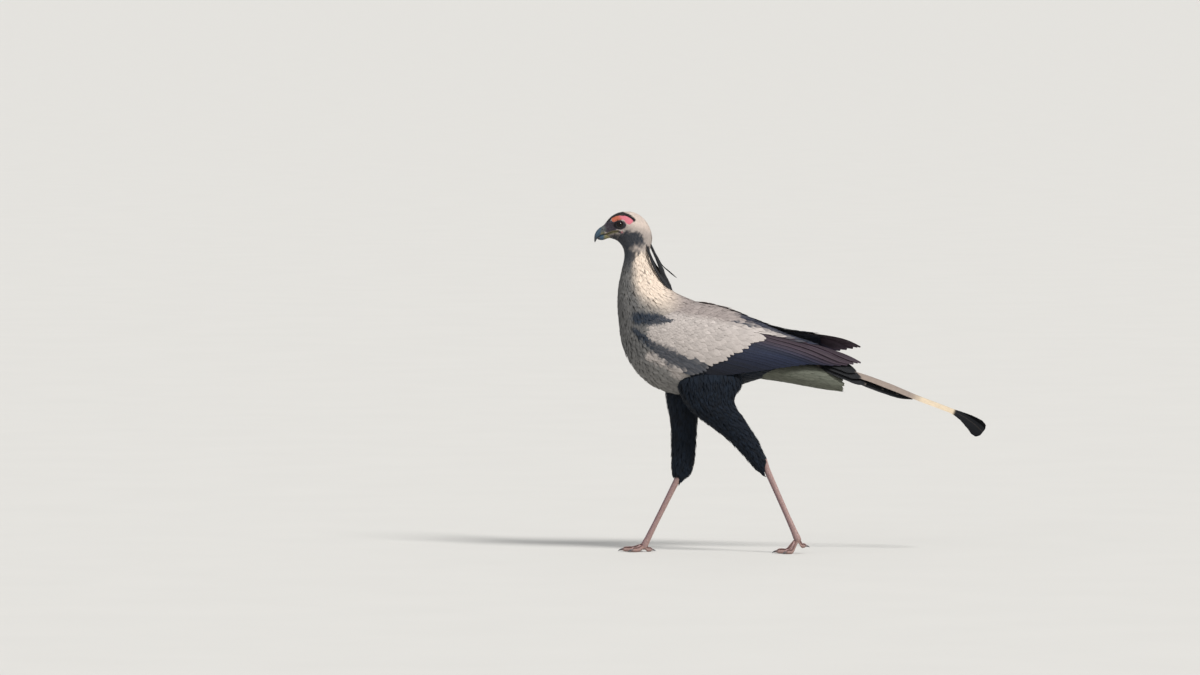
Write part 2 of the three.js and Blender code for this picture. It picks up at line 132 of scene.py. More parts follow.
# Crest plumes: x, out, z from the nape down.
CREST_NEAR = [(-182, -24, 1036), (-170, -25, 990), (-153, -22, 945), (-126, -17, 902), (-97, -14, 864)]
CREST_BEHIND = [(-172, -4, 1036), (-144, -6, 975), (-129, -6, 940), (-114, -6, 905), (-95, -6, 866)]
CREST_STRAY = [(-172, 3, 1026), (-144, 4, 985), (-124, 5, 950), (-102, 5, 930), (-76, 4, 908)]
CREST_FAR = [(-182, 24, 1036), (-169, 25, 990), (-151, 22, 950), (-124, 17, 912), (-97, 13, 878)]

# Feather outlines: half width at equal steps from the quill to the tip, as parts of the widest.
CONTOUR = [0.3, 0.8, 1.0, 1.0, 0.9, 0.62, 0.12]
LANCE = [0.3, 0.8, 1.0, 0.9, 0.66, 0.36, 0.05]
SLIM = [0.6, 0.95, 1.0, 0.95, 0.82, 0.58, 0.14]
COVERT = [0.2, 0.7, 0.96, 1.0, 1.0, 0.84, 0.18]
QUILL = [0.12, 0.45, 0.8, 0.95, 1.0, 1.0, 0.98, 0.88, 0.2]
SPATULA = [0.45, 0.5, 0.55, 0.65, 0.85, 1.0, 0.3]
# Sections: places across a vane, as parts of its half width.
NARROW = (-1, 0, 1)
BROAD = (-1, -0.55, 0, 0.55, 1)
FULL = (-1, -0.75, -0.5, -0.25, 0, 0.25, 0.5, 0.75, 1)
# The side of a feather's patch in the bake's map, how much paler its tip is, and a body feather's arch.
PATCH, PALER_TIP, CAMBER = 0.003, 1.06, 0.045
# Tracts of feathers: from and to in u along the surface, and millimetres between roots.
TRACTS = {
    "head": (0.2, 5.0, 3.6), "lores": (0.2, 1.5, 3.4), "neck": (4.5, 8.4, 6.0), "breast": (8.1, 10.4, 9.7),
    "belly": (10.4, 13.9, 9.7), "vent": (0.05, 2.7, 10),
}
THIGH_ROOTS = 7.6
# Millimetres between the plates of shank and toe and between small scales, and the voxels of the legs' skin.
SCUTES, TOE_SCUTES, SMALL_SCALES, LEG_VOXEL = 8.6, 5.4, 4.6, 1.4
# Flight feathers: layer, number, millimetres under the wing's surface, seed.
FLIGHT_LAYERS = [("inner", 21, 1.6, 51), ("outer", 12, 4.6, 52)]
LINING_DEPTH = 6.5
GAZE = (-0.16, 1.0, 0.02)
# Patterns drawn on skin and horn, in lines to a millimetre.
WRINKLES, GROWTH_LINES = 0.7, 0.26


def linear(code):
    """The linear colour of an sRGB hex value."""
    parts = [int(code[i:i + 2], 16) / 255 for i in (1, 3, 5)]
    return tuple(c / 12.92 if c <= 0.04045 else ((c + 0.055) / 1.055) ** 2.4 for c in parts)


def colour(label, code, says):
    """A colour property."""
    return bpy.props.FloatVectorProperty(
        name=label, description=says, default=linear(code), size=3, min=0, max=1, subtype="COLOR")


def length(label, value, says):
    """A length property, its default in millimetres."""
    return bpy.props.FloatProperty(name=label, description=says, default=value * MM, min=0, unit="LENGTH")


class BirdColours(bpy.types.PropertyGroup):
    """Colours of the bird's plumage, skin and horn"""
    crown: colour("Crown", "#C6B6AA", "Feathers on top of the head")
    cheek: colour("Cheek", "#9F948C", "Feathers on the side of the head")
    neck: colour("Neck", "#DCCAB8", "Feathers on the back and side of the neck")
    # Painted shade, bluish as under the sky: the front of the neck, under the cheek and the chin.
    throat_shadow: colour("Throat", "#101E2B", "Feathers down the front of the neck")
    # Grey of breast and belly, darkened in part as painted shade.
    breast: colour("Breast", "#72706D", "Feathers on the breast and belly")
    back: colour("Back", "#908580", "Back and shoulder feathers")
    covert: colour("Coverts", "#ADA49E", "Small feathers over the wing")
    # Painted shadow, given a bluish cast for the sky in shade: the shoulder wedge, the band under the wing,
    # the crease.
    covert_shadow: colour("Dark coverts", "#182533", "Shaded coverts at the bend of the wing")
    # Black, with a bluish cast painted for the sky in shade.
    flight: colour("Flight", "#181E31", "Flight feathers")
    tertial: colour("Tertials", "#382C34", "Innermost flight feathers")
    # Black, with a bluish cast painted for the sky in shade.
    thigh: colour("Thigh", "#091420", "Feathers of the trousers")
    # Off-white undertail feathers, darkened as painted shade under the body.
    vent: colour("Vent", "#5C5E53", "Feathers under the tail")
    plume_grey: colour("Tail grey", "#8E8076", "Tail feathers towards the root")
    plume_cream: colour("Tail cream", "#CDBBA1", "Long tail feathers before the tip")
    plume_black: colour("Tail black", "#04060B", "Tips of the long tail feathers, and the crest")
    pink: colour("Face pink", "#CC6F7C", "Bare skin behind the eye")
    orange: colour("Face orange", "#B45E44", "Bare skin in front of the eye")
    lores: colour("Lores", "#433C44", "Bare skin between the bill and the eye")
    lid: colour("Lids", "#19161A", "Eyelids and the skin round them")
    gape: colour("Gape", "#6C6640", "Skin at the root of the bill")
    horn: colour("Bill", "#1B3C50", "Horn of the bill")
    horn_tip: colour("Bill tip", "#181E27", "Tip of the bill, and the claws")
    cere: colour("Cere", "#474B4A", "Soft skin over the bill's root")
    leg: colour("Leg", "#A78880", "Scales of the shank and toes")
    # Painted shade down the front of the shank, the side away from the light; the toes take some of it.
    leg_front_shade: colour("Leg front", "#6B525C", "Scales down the front of the shank")
    iris: colour("Iris", "#20140E", "Iris of the eye")


class BirdSizes(bpy.types.PropertyGroup):
    """Sizes of the feathers"""
    head: length("Head feather", 11, "Length of a feather on the crown")
    neck: length("Neck feather", 30, "Length of a feather on the neck")
    body: length("Body feather", 40, "Length of a feather on the breast")
    thigh: length("Thigh feather", 42, "Length of a feather on the thigh")
    covert: length("Greater covert", 88, "Length of a covert over the flight feathers")
    scapular: length("Shoulder feather", 62, "Length of a shoulder feather")
    vent: length("Undertail feather", 70, "Length of a feather under the tail")
    barb: length("Barb spacing", 1.5, "Distance between the drawn barbs of a feather")


def colours():
    """The scene's colours of the bird."""
    return bpy.context.scene.bird_colours


def sizes():
    """The scene's feather sizes."""
    return bpy.context.scene.bird_sizes


# Shapes


def spline(stations, u):
    """A smooth cubic line through the stations, a unit of u apart, and straight on past both ends."""
    p = np.asarray(stations, float)
    last = len(p) - 1
    held = np.clip(u, 0, last)
    i = np.minimum(held.astype(int), last - 1)
    t = (held - i)[..., None]
    q = np.vstack([2 * p[:1] - p[1:2], p, 2 * p[-1:] - p[-2:-1]])
    a, b, c, d = q[i], q[i + 1], q[i + 2], q[i + 3]
    line = 0.5 * (2 * b + (c - a) * t + (2 * a - 5 * b + 4 * c - d) * t**2 + (3 * b - a - 3 * c + d) * t**3)
    past = (u - held)[..., None]
    return line + past * np.where(past < 0, p[1] - p[0], p[-1] - p[-2])


def values(numbers, u):
    """The same smooth line through plain numbers."""
    return spline(np.array(numbers, float)[:, None], u)[..., 0]


def smooth(x, low, high):
    """0 below low, 1 above high, and an S-shaped cubic between."""
    t = np.clip((x - low) / (high - low), 0, 1)
    return t * t * (3 - 2 * t)


def unit(vectors):
    """The vectors divided by their lengths."""
    return vectors / np.maximum(np.linalg.norm(vectors, axis=-1, keepdims=True), 1e-12)


def in_frame(x, out, z):
    """Millimetres of the tables as a point of the frame, in metres."""
    x, out, z = np.broadcast_arrays(x, out, z)
    return np.stack([x * MM + MIDDLE_X, out * MM, z * MM], -1)


class Outline:
    """A limb or body between two lines in one plane: at u, an oval hangs between the back line and the front
    line, and v goes once round it, from the back over the right side to the front."""

    outward = 1

    def __init__(self, rows, out=0.0):
        self.rows = np.array(rows, float)
        self.last = len(rows) - 1
        self.out = out

    def __call__(self, u, v, inset=0.0):
        row = spline(self.rows, u)
        middle = (row[..., 0:2] + row[..., 2:4]) / 2
        up = (row[..., 0:2] - row[..., 2:4]) / 2
        reach = np.linalg.norm(up, axis=-1)
        kept = np.maximum(1 - inset / np.maximum(reach, 0.1), 0.2)
        turn = 2 * np.pi * v
        flat = middle + up * (kept * np.cos(turn))[..., None]
        half = np.maximum(row[..., 4] - inset, 0.2 * row[..., 4])
        return in_frame(flat[..., 0], self.out + half * np.sin(turn), flat[..., 1])


def wing_rise(x, lift):
    """How much higher a lifted wing is carried at x: nothing at the shoulder, the whole lift at its end."""
    return lift * smooth(x, 150, 520)


class Wing:
    """The wing's outer face: at u along it, v runs down a cubic curve from the top edge, out by the bulge and
    in to the low edge."""

    last = len(WING) - 1

    def __init__(self, side, lift):
        self.side = self.outward = side
        self.lift = lift

    def __call__(self, u, v, inset=0.0):
        row = spline(WING, u)
        top, low = row[..., 0:3], row[..., 3:6]
        reach = (8 * row[..., 6] - top[..., 1] - low[..., 1]) / 6
        near, far = top + (low - top) * 0.12, top + (low - top) * 0.6
        near[..., 1] = far[..., 1] = reach
        t = np.asarray(v, float)[..., None]
        p = (1 - t) ** 3 * top + 3 * (1 - t) ** 2 * t * near + 3 * (1 - t) * t * t * far + t**3 * low
        rise = wing_rise(top[..., 0], self.lift)
        return in_frame(p[..., 0], self.side * (p[..., 1] - inset), p[..., 2] + rise)


class Shaft:
    """A shank: an oval tube down a straight line, u in millimetres from the heel joint, v once round it from
    behind."""

    outward = 1

    def __init__(self, side):
        x, z, lean = HEELS[side]
        turn = math.radians(lean)
        self.start = np.array([x, side * FOOT_OUT, z], float)
        self.down = np.array([math.sin(turn), 0, -math.cos(turn)])
        self.behind = np.array([math.cos(turn), 0, math.sin(turn)])
        self.last = SHANK_REACH[-1]

    def __call__(self, u, v, inset=0.0):
        depth = np.interp(u, SHANK_REACH, SHANK_DEPTH) - inset
        turn = 2 * np.pi * v
        p = self.start + self.down * np.asarray(u, float)[..., None]
        p = p + self.behind * (depth * np.cos(turn))[..., None]
        p = p + np.array([0, SHANK_FLATTENED, 0]) * (depth * np.sin(turn))[..., None]
        return in_frame(p[..., 0], p[..., 1], p[..., 2])


class Toe:
    """A toe: a round tube with swollen pads. Its middle line runs down from the toe joint and along the
    ground, u from 0 to 1, v once round."""

    last = 1.0

    def __init__(self, side, spec):
        name, turn, reach, self.thick, self.claw = spec
        shank = Shaft(side)
        foot = shank.start + shank.down * TARSUS
        turn = math.radians(turn)
        self.ahead = np.array([-math.cos(turn), side * math.sin(turn), 0])
        self.across = np.cross([0, 0, 1], self.ahead)
        self.outward = -1
        raised = foot[2] - 1
        low = max(self.thick - SOLE_FLAT, raised - HIND_DROP if name == "hind" else 0)
        k = np.linspace(0, 1, 5)
        height = raised + (low - raised) * smooth(k, 0, 0.5)
        self.line = foot * [1, 1, 0] + k[:, None] * reach * self.ahead + height[:, None] * [0, 0, 1]

    def __call__(self, u, v, inset=0.0):
        p = spline(self.line, np.asarray(u, float) * 4)
        pad = 1 + 0.08 * np.cos(6 * np.pi * u) * np.abs(np.sin(np.pi * v))
        radius = self.thick * (1 - 0.2 * u) * pad * np.sqrt(1 - smooth(u, 0.86, 1.0) * 0.75) - inset
        turn = 2 * np.pi * v
        p = p + self.across * (radius * np.sin(turn))[..., None]
        p = p + np.array([0, 0, 1.0]) * (radius * np.cos(turn))[..., None]
        return in_frame(p[..., 0], p[..., 1], np.maximum(p[..., 2], 0))


def tangents(surface, u, v):
    """The point at u, v, the steps along u and v there, and the way out, by small differences."""
    du = 0.004 * surface.last
    dv = 0.004
    point = surface(u, v)
    along = (surface(u + du, v) - surface(u - du, v)) / (2 * du)
    round_it = (surface(u, v + dv) - surface(u, v - dv)) / (2 * dv)
    return point, along, round_it, unit(np.cross(along, round_it)) * surface.outward


def write_mesh(name, points, faces, tint=None, maps=None, rim=None):
    """A mesh object from arrays: points, faces as arrays of equal-sided faces, a colour and UV maps for each
    point. An edge between two points of the rim is sharp."""
    loops = np.concatenate([f.reshape(-1) for f in faces]).astype(np.int32)
    counts = np.concatenate([np.full(len(f), f.shape[1], np.int32) for f in faces])
    mesh = bpy.data.meshes.new(name)
    mesh.vertices.add(len(points))
    mesh.vertices.foreach_set("co", np.asarray(points, np.float32).reshape(-1))
    mesh.loops.add(len(loops))
    mesh.loops.foreach_set("vertex_index", loops)
    mesh.polygons.add(len(counts))
    mesh.polygons.foreach_set("loop_start", np.concatenate([[0], np.cumsum(counts)[:-1]]).astype(np.int32))
    mesh.polygons.foreach_set("loop_total", counts)
    mesh.polygons.foreach_set("use_smooth", np.ones(len(counts), bool))
    mesh.update(calc_edges=True)
    if tint is not None:
        paint(mesh, tint)
    for label, uv in (maps or {}).items():
        layer = mesh.uv_layers.new(name=label)
        layer.data.foreach_set("uv", np.asarray(uv, np.float32)[loops].reshape(-1))
    if rim is not None:
        ends = np.zeros(len(mesh.edges) * 2, np.int32)
        mesh.edges.foreach_get("vertices", ends)
        sharp = mesh.attributes.new("sharp_edge", "BOOLEAN", "EDGE")
        sharp.data.foreach_set("value", rim[ends].reshape(-1, 2).all(1))
    mesh.validate()
    made = bpy.data.objects.new(name, mesh)
    bpy.context.scene.collection.objects.link(made)
    return made


def paint(mesh, tint):
    """A colour for each point of the mesh, which the materials read."""
    layer = mesh.attributes.new("Tint", "FLOAT_COLOR", "POINT")
    rgba = np.ones((len(mesh.vertices), 4), np.float32)
    rgba[:, :3] = tint
    layer.data.foreach_set("color", rgba.reshape(-1))


def places(mesh):
    """The mesh's points as rows of x, y, z."""
    flat = np.zeros(len(mesh.vertices) * 3, np.float32)
    mesh.vertices.foreach_get("co", flat)
    return flat.reshape(-1, 3)


def tube(points, flip=False):
    """Faces over a grid of points, rings by places round: closed round, with a fan of triangles at both
    ends."""
    rings, around, _ = points.shape
    number = np.arange(rings * around).reshape(rings, around)
    turned = np.roll(number, -1, 1)
    quads = np.stack([number[:-1], number[1:], turned[1:], turned[:-1]], -1).reshape(-1, 4)
    first, last = rings * around, rings * around + 1
    start = np.stack([number[0], turned[0], np.full(around, first)], -1)
    end = np.stack([turned[-1], number[-1], np.full(around, last)], -1)
    fans = np.concatenate([start, end])
    if flip:
        quads, fans = quads[:, ::-1], fans[:, ::-1]
    flat = np.concatenate([points.reshape(-1, 3), points[0].mean(0)[None], points[-1].mean(0)[None]])
    return flat, [quads, fans]


def over(surface, u, around, inset=0.0, relief=None):
    """A closed tube over a surface at the given u, sunk by the inset and raised by the relief."""
    uu, vv = np.meshgrid(u, np.arange(around) / around, indexing="ij")
    sunk = np.asarray(inset)[:, None] if np.ndim(inset) else inset
    points = surface(uu, vv, sunk)
    if relief is not None:
        _, _, _, out = tangents(surface, uu, vv)
        points = points + out * relief(points)[..., None]
    return points


# Feathers


def rows_of_roots(surface, low, high, spacing, chance):
    """Roots in rings, a spacing in millimetres apart, staggered from ring to ring, with a little chance in
    each place."""
    spacing = spacing * MM
    u = np.linspace(low, high, 200)
    _, along, _, _ = tangents(surface, u, np.full(200, 0.25))
    gone = np.concatenate([[0], np.cumsum(np.linalg.norm(along[1:], axis=1) * np.diff(u))])
    rings = np.interp(np.arange(spacing / 2, gone[-1], spacing * 0.87), gone, u)
    us, vs = [], []
    for k, ring in enumerate(rings):
        loop = surface(np.full(65, ring), np.linspace(0, 1, 65))
        girth = np.linalg.norm(np.diff(loop, axis=0), axis=1)
        count = max(6, int(round(girth.sum() / spacing)))
        shares = np.concatenate([[0], np.cumsum(girth)]) / girth.sum()
        places = (np.arange(count) + 0.5 * (k % 2) + chance.uniform(-0.28, 0.28, count)) / count
        vs.append(np.interp(places % 1, shares, np.linspace(0, 1, 65)))
        us.append(np.full(count, ring) + chance.uniform(-0.2, 0.2, count) * (rings[1] - rings[0]))
    return np.concatenate(us), np.concatenate(vs)


def march(surface, u, v, reach, rings, veer=0.0):
    """Paths over a surface: each goes from its root along u, turned by veer towards v, in equal steps."""
    us, vs = [u], [v]
    step = reach / (rings - 1)
    for _ in range(rings - 1):
        _, along, round_it, _ = tangents(surface, us[-1], vs[-1])
        us.append(us[-1] + step * np.cos(veer) / np.linalg.norm(along, axis=-1))
        vs.append(vs[-1] + step * np.sin(veer) / np.linalg.norm(round_it, axis=-1))
    return np.stack(us, 1), np.stack(vs, 1)


def lay(surface, u, v, sink):
    """Middle lines at u, v, sunk under the surface, and the way out along them."""
    point, _, _, out = tangents(surface, u, v)
    return point - out * sink[..., None], out


def vanes(name, centre, out, half, outline, cross, thick, tint, home, camber=0.1, roll=0.0, notch=None,
          fringe=0.0):
    """Feathers as closed vanes. Rings follow the middle line. Across each, the upper face is an arch that
    falls by the camber towards the edges, and the lower face lies under it by the thickness and meets it
    there."""
    count, rings, _ = centre.shape
    along = unit(np.gradient(centre, axis=1))
    side = unit(np.cross(along, out))
    up = np.cross(side, along)
    roll = np.broadcast_to(roll, (count, rings))[..., None]
    side, up = side * np.cos(roll) + up * np.sin(roll), up * np.cos(roll) - side * np.sin(roll)
    width = np.reshape(half, (count, 1)) * values(outline, np.linspace(0, len(outline) - 1, rings))
    if notch is not None:
        width = width * notch
    c = np.concatenate([cross, cross[-2:0:-1]])
    face = np.concatenate([np.ones(len(cross)), -np.ones(len(cross) - 2)])
    offset = width[..., None] * c
    height = face * thick * (1 - c**2) * 0.5 - camber * width[..., None] * c**2
    points = centre[:, :, None] + side[:, :, None] * offset[..., None] + up[:, :, None] * height[..., None]
    per_ring = len(c)
    number = np.arange(count * rings * per_ring).reshape(count, rings, per_ring)
    turned = np.roll(number, -1, 2)
    quads = np.stack([number[:, :-1], turned[:, :-1], turned[:, 1:], number[:, 1:]], -1).reshape(-1, 4)
    caps = np.concatenate([number[:, 0, ::-1], number[:, -1]])
    step = np.linalg.norm(np.diff(centre, axis=1), axis=-1)
    gone = np.concatenate([np.zeros((count, 1)), np.cumsum(step, 1)], 1)
    real = np.stack([offset, np.broadcast_to(gone[..., None], offset.shape)], -1) / MM
    part = np.stack(np.broadcast_arrays(c * 0.5, (np.linspace(0, 1, rings) - 0.5)[None, :, None]), -1)
    patch = np.reshape(home, (count, 1, 1, 2)) + PATCH * np.broadcast_to(part, offset.shape + (2,))
    # Paler towards the edges by the fringe: a painted highlight along a feather's edges.
    colour_at = tint[:, :, None] * (1 + fringe * np.abs(c) ** 5)[:, None]
    maps = {"OFBake": patch.reshape(-1, 2), "Vane": real.reshape(-1, 2)}
    rim = np.broadcast_to(np.abs(c) > 0.99, offset.shape).copy()
    rim[:, [0, -1]] = True
    colour_at = colour_at.reshape(-1, 3)
    return write_mesh(name, points.reshape(-1, 3), [quads, caps], colour_at, maps, rim.reshape(-1))


def homes(across, along, low=0.03, span=0.9):
    """Each feather's place in the bake's map, from its place on the surface as shares of it."""
    return low + span * np.clip(np.stack([across, along], 1), 0, 1)


def plain(shade):
    """A colouring that is the same at every point."""
    return lambda points: np.broadcast_to(shade, points.shape)


def shaded(tint, chance, spread, root=0.78):
    """Each feather a little lighter or darker than the next, darker at its root and paler at its fringe."""
    count, rings, _ = tint.shape
    s = np.linspace(0, 1, rings)
    along = root + (1 - root) * smooth(s, 0, 0.55) + (PALER_TIP - 1) * smooth(s, 0.8, 1)
    return tint * along[None, :, None] * chance.normal(1, spread, (count, 1, 1)).clip(0.6, 1.4)


def finish(piece, label, slot, *nodes):
    """The piece with its material, on the root body, with the nodes that it replaces hidden. The slot is not
    used.
    """
    piece.data.materials.append(look(label))
    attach(piece, "root")
    if nodes:
        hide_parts(*nodes)
    return piece


# Markings and painted shade: colours over the skin and the coat, from the place in side view


def side_view(points):
    """Points of the frame as the tables' x, out and z, in millimetres."""
    return (points[..., 0] - MIDDLE_X) / MM, points[..., 1] / MM, points[..., 2] / MM


def near_line(x, z, line):
    """The distance in millimetres from a broken line in side view."""
    line = np.array(line, float)
    best = np.full(np.shape(x), 1e9)
    for a, b in zip(line[:-1], line[1:]):
        d = b - a
        t = np.clip(((x - a[0]) * d[0] + (z - a[1]) * d[1]) / (d @ d), 0, 1)
        best = np.minimum(best, np.hypot(x - a[0] - t * d[0], z - a[1] - t * d[1]))
    return best


def oval(x, z, cx, cz, rx, rz, turn=0.0):
    """How far out from an oval's middle a place is, 1 at its edge."""
    c, s = math.cos(math.radians(turn)), math.sin(math.radians(turn))
    return np.hypot(((x - cx) * c + (z - cz) * s) / rx, ((z - cz) * c - (x - cx) * s) / rz)


def ripple(points, size):
    """A field from -1 to 1 that looks random: sines along slanted lines, themselves bent by sines. The size
    is in millimetres."""
    x, y, z = side_view(points)
    k = 2 * math.pi / size
    a = np.sin(k * (0.9 * x + 0.5 * z + 0.3 * y) + 1.7 * np.sin(k * 0.37 * (z - 0.6 * x)))
    b = np.sin(k * (0.7 * z - 0.8 * x + 0.6 * y) * 1.31 + 2.1 * np.sin(k * 0.29 * (x + y)))
    return (a + b) / 2


def blend(first, *layers):
    """A first colour with others laid over it in turn, each a pair: the colour, and its share at each
    point."""
    tint = np.asarray(first)
    for second, share in layers:
        tint = tint + (np.asarray(second) - tint) * np.asarray(share)[..., None]
    return tint


BROW_LINE = [(-306, 1094), (-294, 1109), (-279, 1118), (-256, 1121), (-233, 1112), (-218, 1100)]
BARE_LINE = [(-284, 1101), (-272, 1106), (-256, 1108), (-240, 1104), (-228, 1097)]
NOSTRIL = (-322, 1069, 4.6, 2.2, 40)
GAPE_LINE = [(-322, 1049), (-307, 1052), (-289, 1060), (-272, 1062), (-258, 1058)]
# Lines of painted shadow: the band under the wing's front edge and the wedge at the shoulder.
BAND_LINE = [(-214, 735), (-165, 690), (-95, 650), (-30, 622), (8, 606)]
WEDGE_LINE = [(-206, 777), (-160, 775), (-118, 772), (-86, 770)]
PALE_LINE = [(-160, 652), (-110, 630), (-62, 590)]
# A line of painted shade in the crease behind the shoulder.
CREASE_LINE = [(108, 770), (142, 760), (178, 752)]


def coloured_skin(x, z):
    """1 on the orange and pink skin over and behind the eye."""
    above = 1 - smooth(near_line(x, z, BARE_LINE), 6.5, 9)
    behind = 1 - smooth(oval(x, z, -238, 1095, 13, 8, -38), 0.85, 1.1)
    return np.maximum(above, behind)


def bare_face(points):
    """1 on the bare skin of the face, 0 on the feathered head."""
    x, _, z = side_view(points)
    ring = 1 - smooth(oval(x, z, EYE_X - 1, EYE_Z - 2, 22, 15.5), 0.9, 1.1)
    lores = 1 - smooth(oval(x, z, -296, 1077, 25, 20, 20), 0.9, 1.1)
    gape = 1 - smooth(near_line(x, z, GAPE_LINE), 3.5, 6)
    return np.maximum.reduce([coloured_skin(x, z), ring, lores, gape])


def face_colour(points):
    """Bare skin: dark lores and lids, orange over the eye to pink behind it, an olive gape with painted shade
    along its groove, and the cere in front. The dark round the eye is partly the lids' own colour, partly
    painted shade."""
    c = colours()
    x, _, z = side_view(points)
    gape = near_line(x, z, GAPE_LINE)
    warm = blend(c.orange, (c.pink, smooth(x + 0.4 * (z - 1100), -268, -252)))
    skin = blend(c.lores, (warm, coloured_skin(x, z))) * (1 + 0.12 * ripple(points, 5))[..., None]
    spot = (np.array(c.pink) + np.array(c.cheek)) / 2
    return blend(
        skin,
        (c.gape, 0.85 * (1 - smooth(near_line(x, z, GAPE_LINE[:4]), 2, 6))),
        (c.cere, 0.9 * (1 - smooth(x + 0.02 * (z - 1062) ** 2, -312, -305))),
        # Painted shade in the groove along the gape.
        (c.lid, 0.8 * (1 - smooth(gape, 0.5, 1.5))),
        (spot, 1 - smooth(oval(x, z, -257, 1060, 5.5, 4.5), 0.5, 1.1)),
        # Dark round the eye: partly the lids' own colour, partly painted shade.
        (c.lid, 1 - smooth(oval(x, z, EYE_X - 1, EYE_Z - 3, 22, 14.5), 0.75, 1.05)),
        (c.lid, 0.9 * (1 - smooth(near_line(x, z, BROW_LINE), 1.6, 3.6))))


def painted_shadows(points):
    """Painted shadows on body and wing alike: a wedge at the shoulder, in the hollow at the wing's bend, and
    a band under the wing's front edge."""
    x, _, z = side_view(points)
    rough = 5 * ripple(points, 23) + 3 * ripple(points, 9)
    wide = 3 + 20 * (1 - smooth(x, -160, -84))
    wedge = 1 - smooth(near_line(x, z, WEDGE_LINE) + 0.7 * rough, 0.55 * wide, 1.25 * wide)
    wide = 12 + 15 * smooth(x, -200, -90)
    band = 1 - smooth(near_line(x, z, BAND_LINE) + rough, 0.6 * wide, 1.2 * wide)
    return np.maximum(0.95 * wedge, 0.9 * band)


def coat_colour(points):
    """Feathered head, neck and body: buff crown and neck, grey breast, browner back. Painted shade, mottled
    at its edge, darkens the front of the neck, under the cheek and the chin, and the painted shadows of the
    wing lie over it; the dark behind the thigh is partly the thighs' black and partly painted shade. Places
    on neck and breast go by their share of the way from the front line to the back line."""
    c = colours()
    x, _, z = side_view(points)
    rows = np.array(BODY[5:11], float)
    order = np.argsort(rows[:, 3])
    front = np.interp(z, rows[order, 3], rows[order, 2])
    back = np.interp(z, np.sort(rows[:, 1]), rows[np.argsort(rows[:, 1]), 0])
    part = (x - front) / np.maximum(back - front, 20)
    wander = 0.15 * ripple(points, 55) + 0.13 * ripple(points, 19)
    deep = 0.26 * smooth(z, 935, 995)
    front_shade = 1 - smooth(part + wander - deep, 0.16, 0.42)
    front_shade = front_shade * smooth(z, 560, 700) * (1 - smooth(z, 1005, 1035))
    head = smooth(z + 0.35 * (x + 250), 1000, 1030)
    # Painted shade under the cheek and on the chin.
    ear_shadow = 1 - smooth(oval(x, z, -238, 1034, 61, 30, 3) + 1.1 * wander, 0.68, 1.12)
    chin_shadow = 1 - smooth(oval(x, z, -290, 1038, 42, 15, 12), 0.6, 1.1)
    return blend(
        c.breast,
        (c.neck, smooth(z, 760, 860) * smooth(part, 0.2, 0.5)),
        (c.throat_shadow, (0.32 + 0.58 * smooth(z, 915, 985)) * front_shade),
        (c.covert, 0.9 * (1 - smooth(near_line(x, z, PALE_LINE) + 30 * wander, 8, 26))),
        (c.back, smooth(z - 0.12 * np.abs(x), 735, 790) * smooth(x, -130, -40)),
        (c.cheek, head),
        (c.crown, head * smooth(z + 0.25 * x, 1006, 1036)),
        (c.throat_shadow, np.maximum(0.95 * ear_shadow, 0.8 * chin_shadow)),
        (c.lid, 1 - smooth(near_line(x, z, BROW_LINE), 4, 7.5)),
        # Black behind the thigh: partly the thighs' own black, partly painted shade under the wing.
        (c.thigh, smooth(x, 20, 80) * (1 - smooth(z - 4 * ripple(points, 14), 630, 655))),
        (c.covert_shadow, painted_shadows(points)))


def rump(points, lift, late=0.0):
    """1 on the black lower back, above the pale coverts' top edge."""
    x, _, z = side_view(points)
    edge = np.interp(x, *np.transpose(RUMP_EDGE))
    return smooth(z - wing_rise(x, lift) - edge, -6, 6) * smooth(x + late, 112, 150)


def wing_colour(points):
    """Pale coverts and browner shoulders, the shared painted shadows, and painted shade in the crease behind
    the shoulder.
    """
    c = colours()
    x, _, z = side_view(points)
    return blend(
        c.covert,
        (c.back, smooth(z + 0.16 * x, 768, 796)),
        # Painted shade in the crease behind the shoulder.
        (c.covert_shadow, 0.9 * (1 - smooth(near_line(x, z, CREASE_LINE), 2, 5))),
        (c.covert_shadow, painted_shadows(points)))


# Materials


def node(tree, kind, inputs=(), output=0, **settings):
    """Adds a node with its settings and gives one of its outputs. Inputs go by order or by name, and each
    is a value or a socket to link from."""
    made = tree.nodes.new("ShaderNode" + kind)
    for label, value in settings.items():
        setattr(made, label, value)
    for key, value in inputs.items() if isinstance(inputs, dict) else enumerate(inputs):
        if isinstance(value, bpy.types.NodeSocket):
            tree.links.new(value, made.inputs[key])
        else:
            made.inputs[key].default_value = value
    return made.outputs[output]


def blank(name, **sockets):
    """A new material, the function that adds its nodes, its shader with its own sockets set, and places on
    the object in metres."""
    made = bpy.data.materials.new(name)
    made.use_nodes = True
    shader = made.node_tree.nodes["Principled BSDF"]
    for label, value in sockets.items():
        shader.inputs[label.replace("_", " ")].default_value = value
    add = partial(node, made.node_tree)
    return made, add, shader, add("TexCoord", output="Object")


def blobs(place, size, detail=3.0):
    """Inputs of a noise whose blobs are about size millimetres across."""
    return {"Vector": place, "Scale": 1 / (size * MM), "Detail": detail}


def dress(add, shader, tone, height=None, distance=0.0, strength=0.6, line=None):
    """Base colour: the piece's own tint times the tone, then a line as a pair, its share and its colour.
    Relief: the height, with its distance in millimetres."""
    links = shader.id_data.links
    own = add("Attribute", output="Color", attribute_name="Tint")
    base = add("Mix", {0: 1.0, 6: own, 7: tone}, 2, data_type="RGBA", blend_type="MULTIPLY")
    if line is not None:
        base = add("Mix", {0: line[0], 6: base, 7: line[1]}, 2, data_type="RGBA")
    links.new(base, shader.inputs["Base Color"])
    if height is not None:
        relief = add("Bump", {"Height": height, "Distance": distance * MM, "Strength": strength})
        links.new(relief, shader.inputs["Normal"])


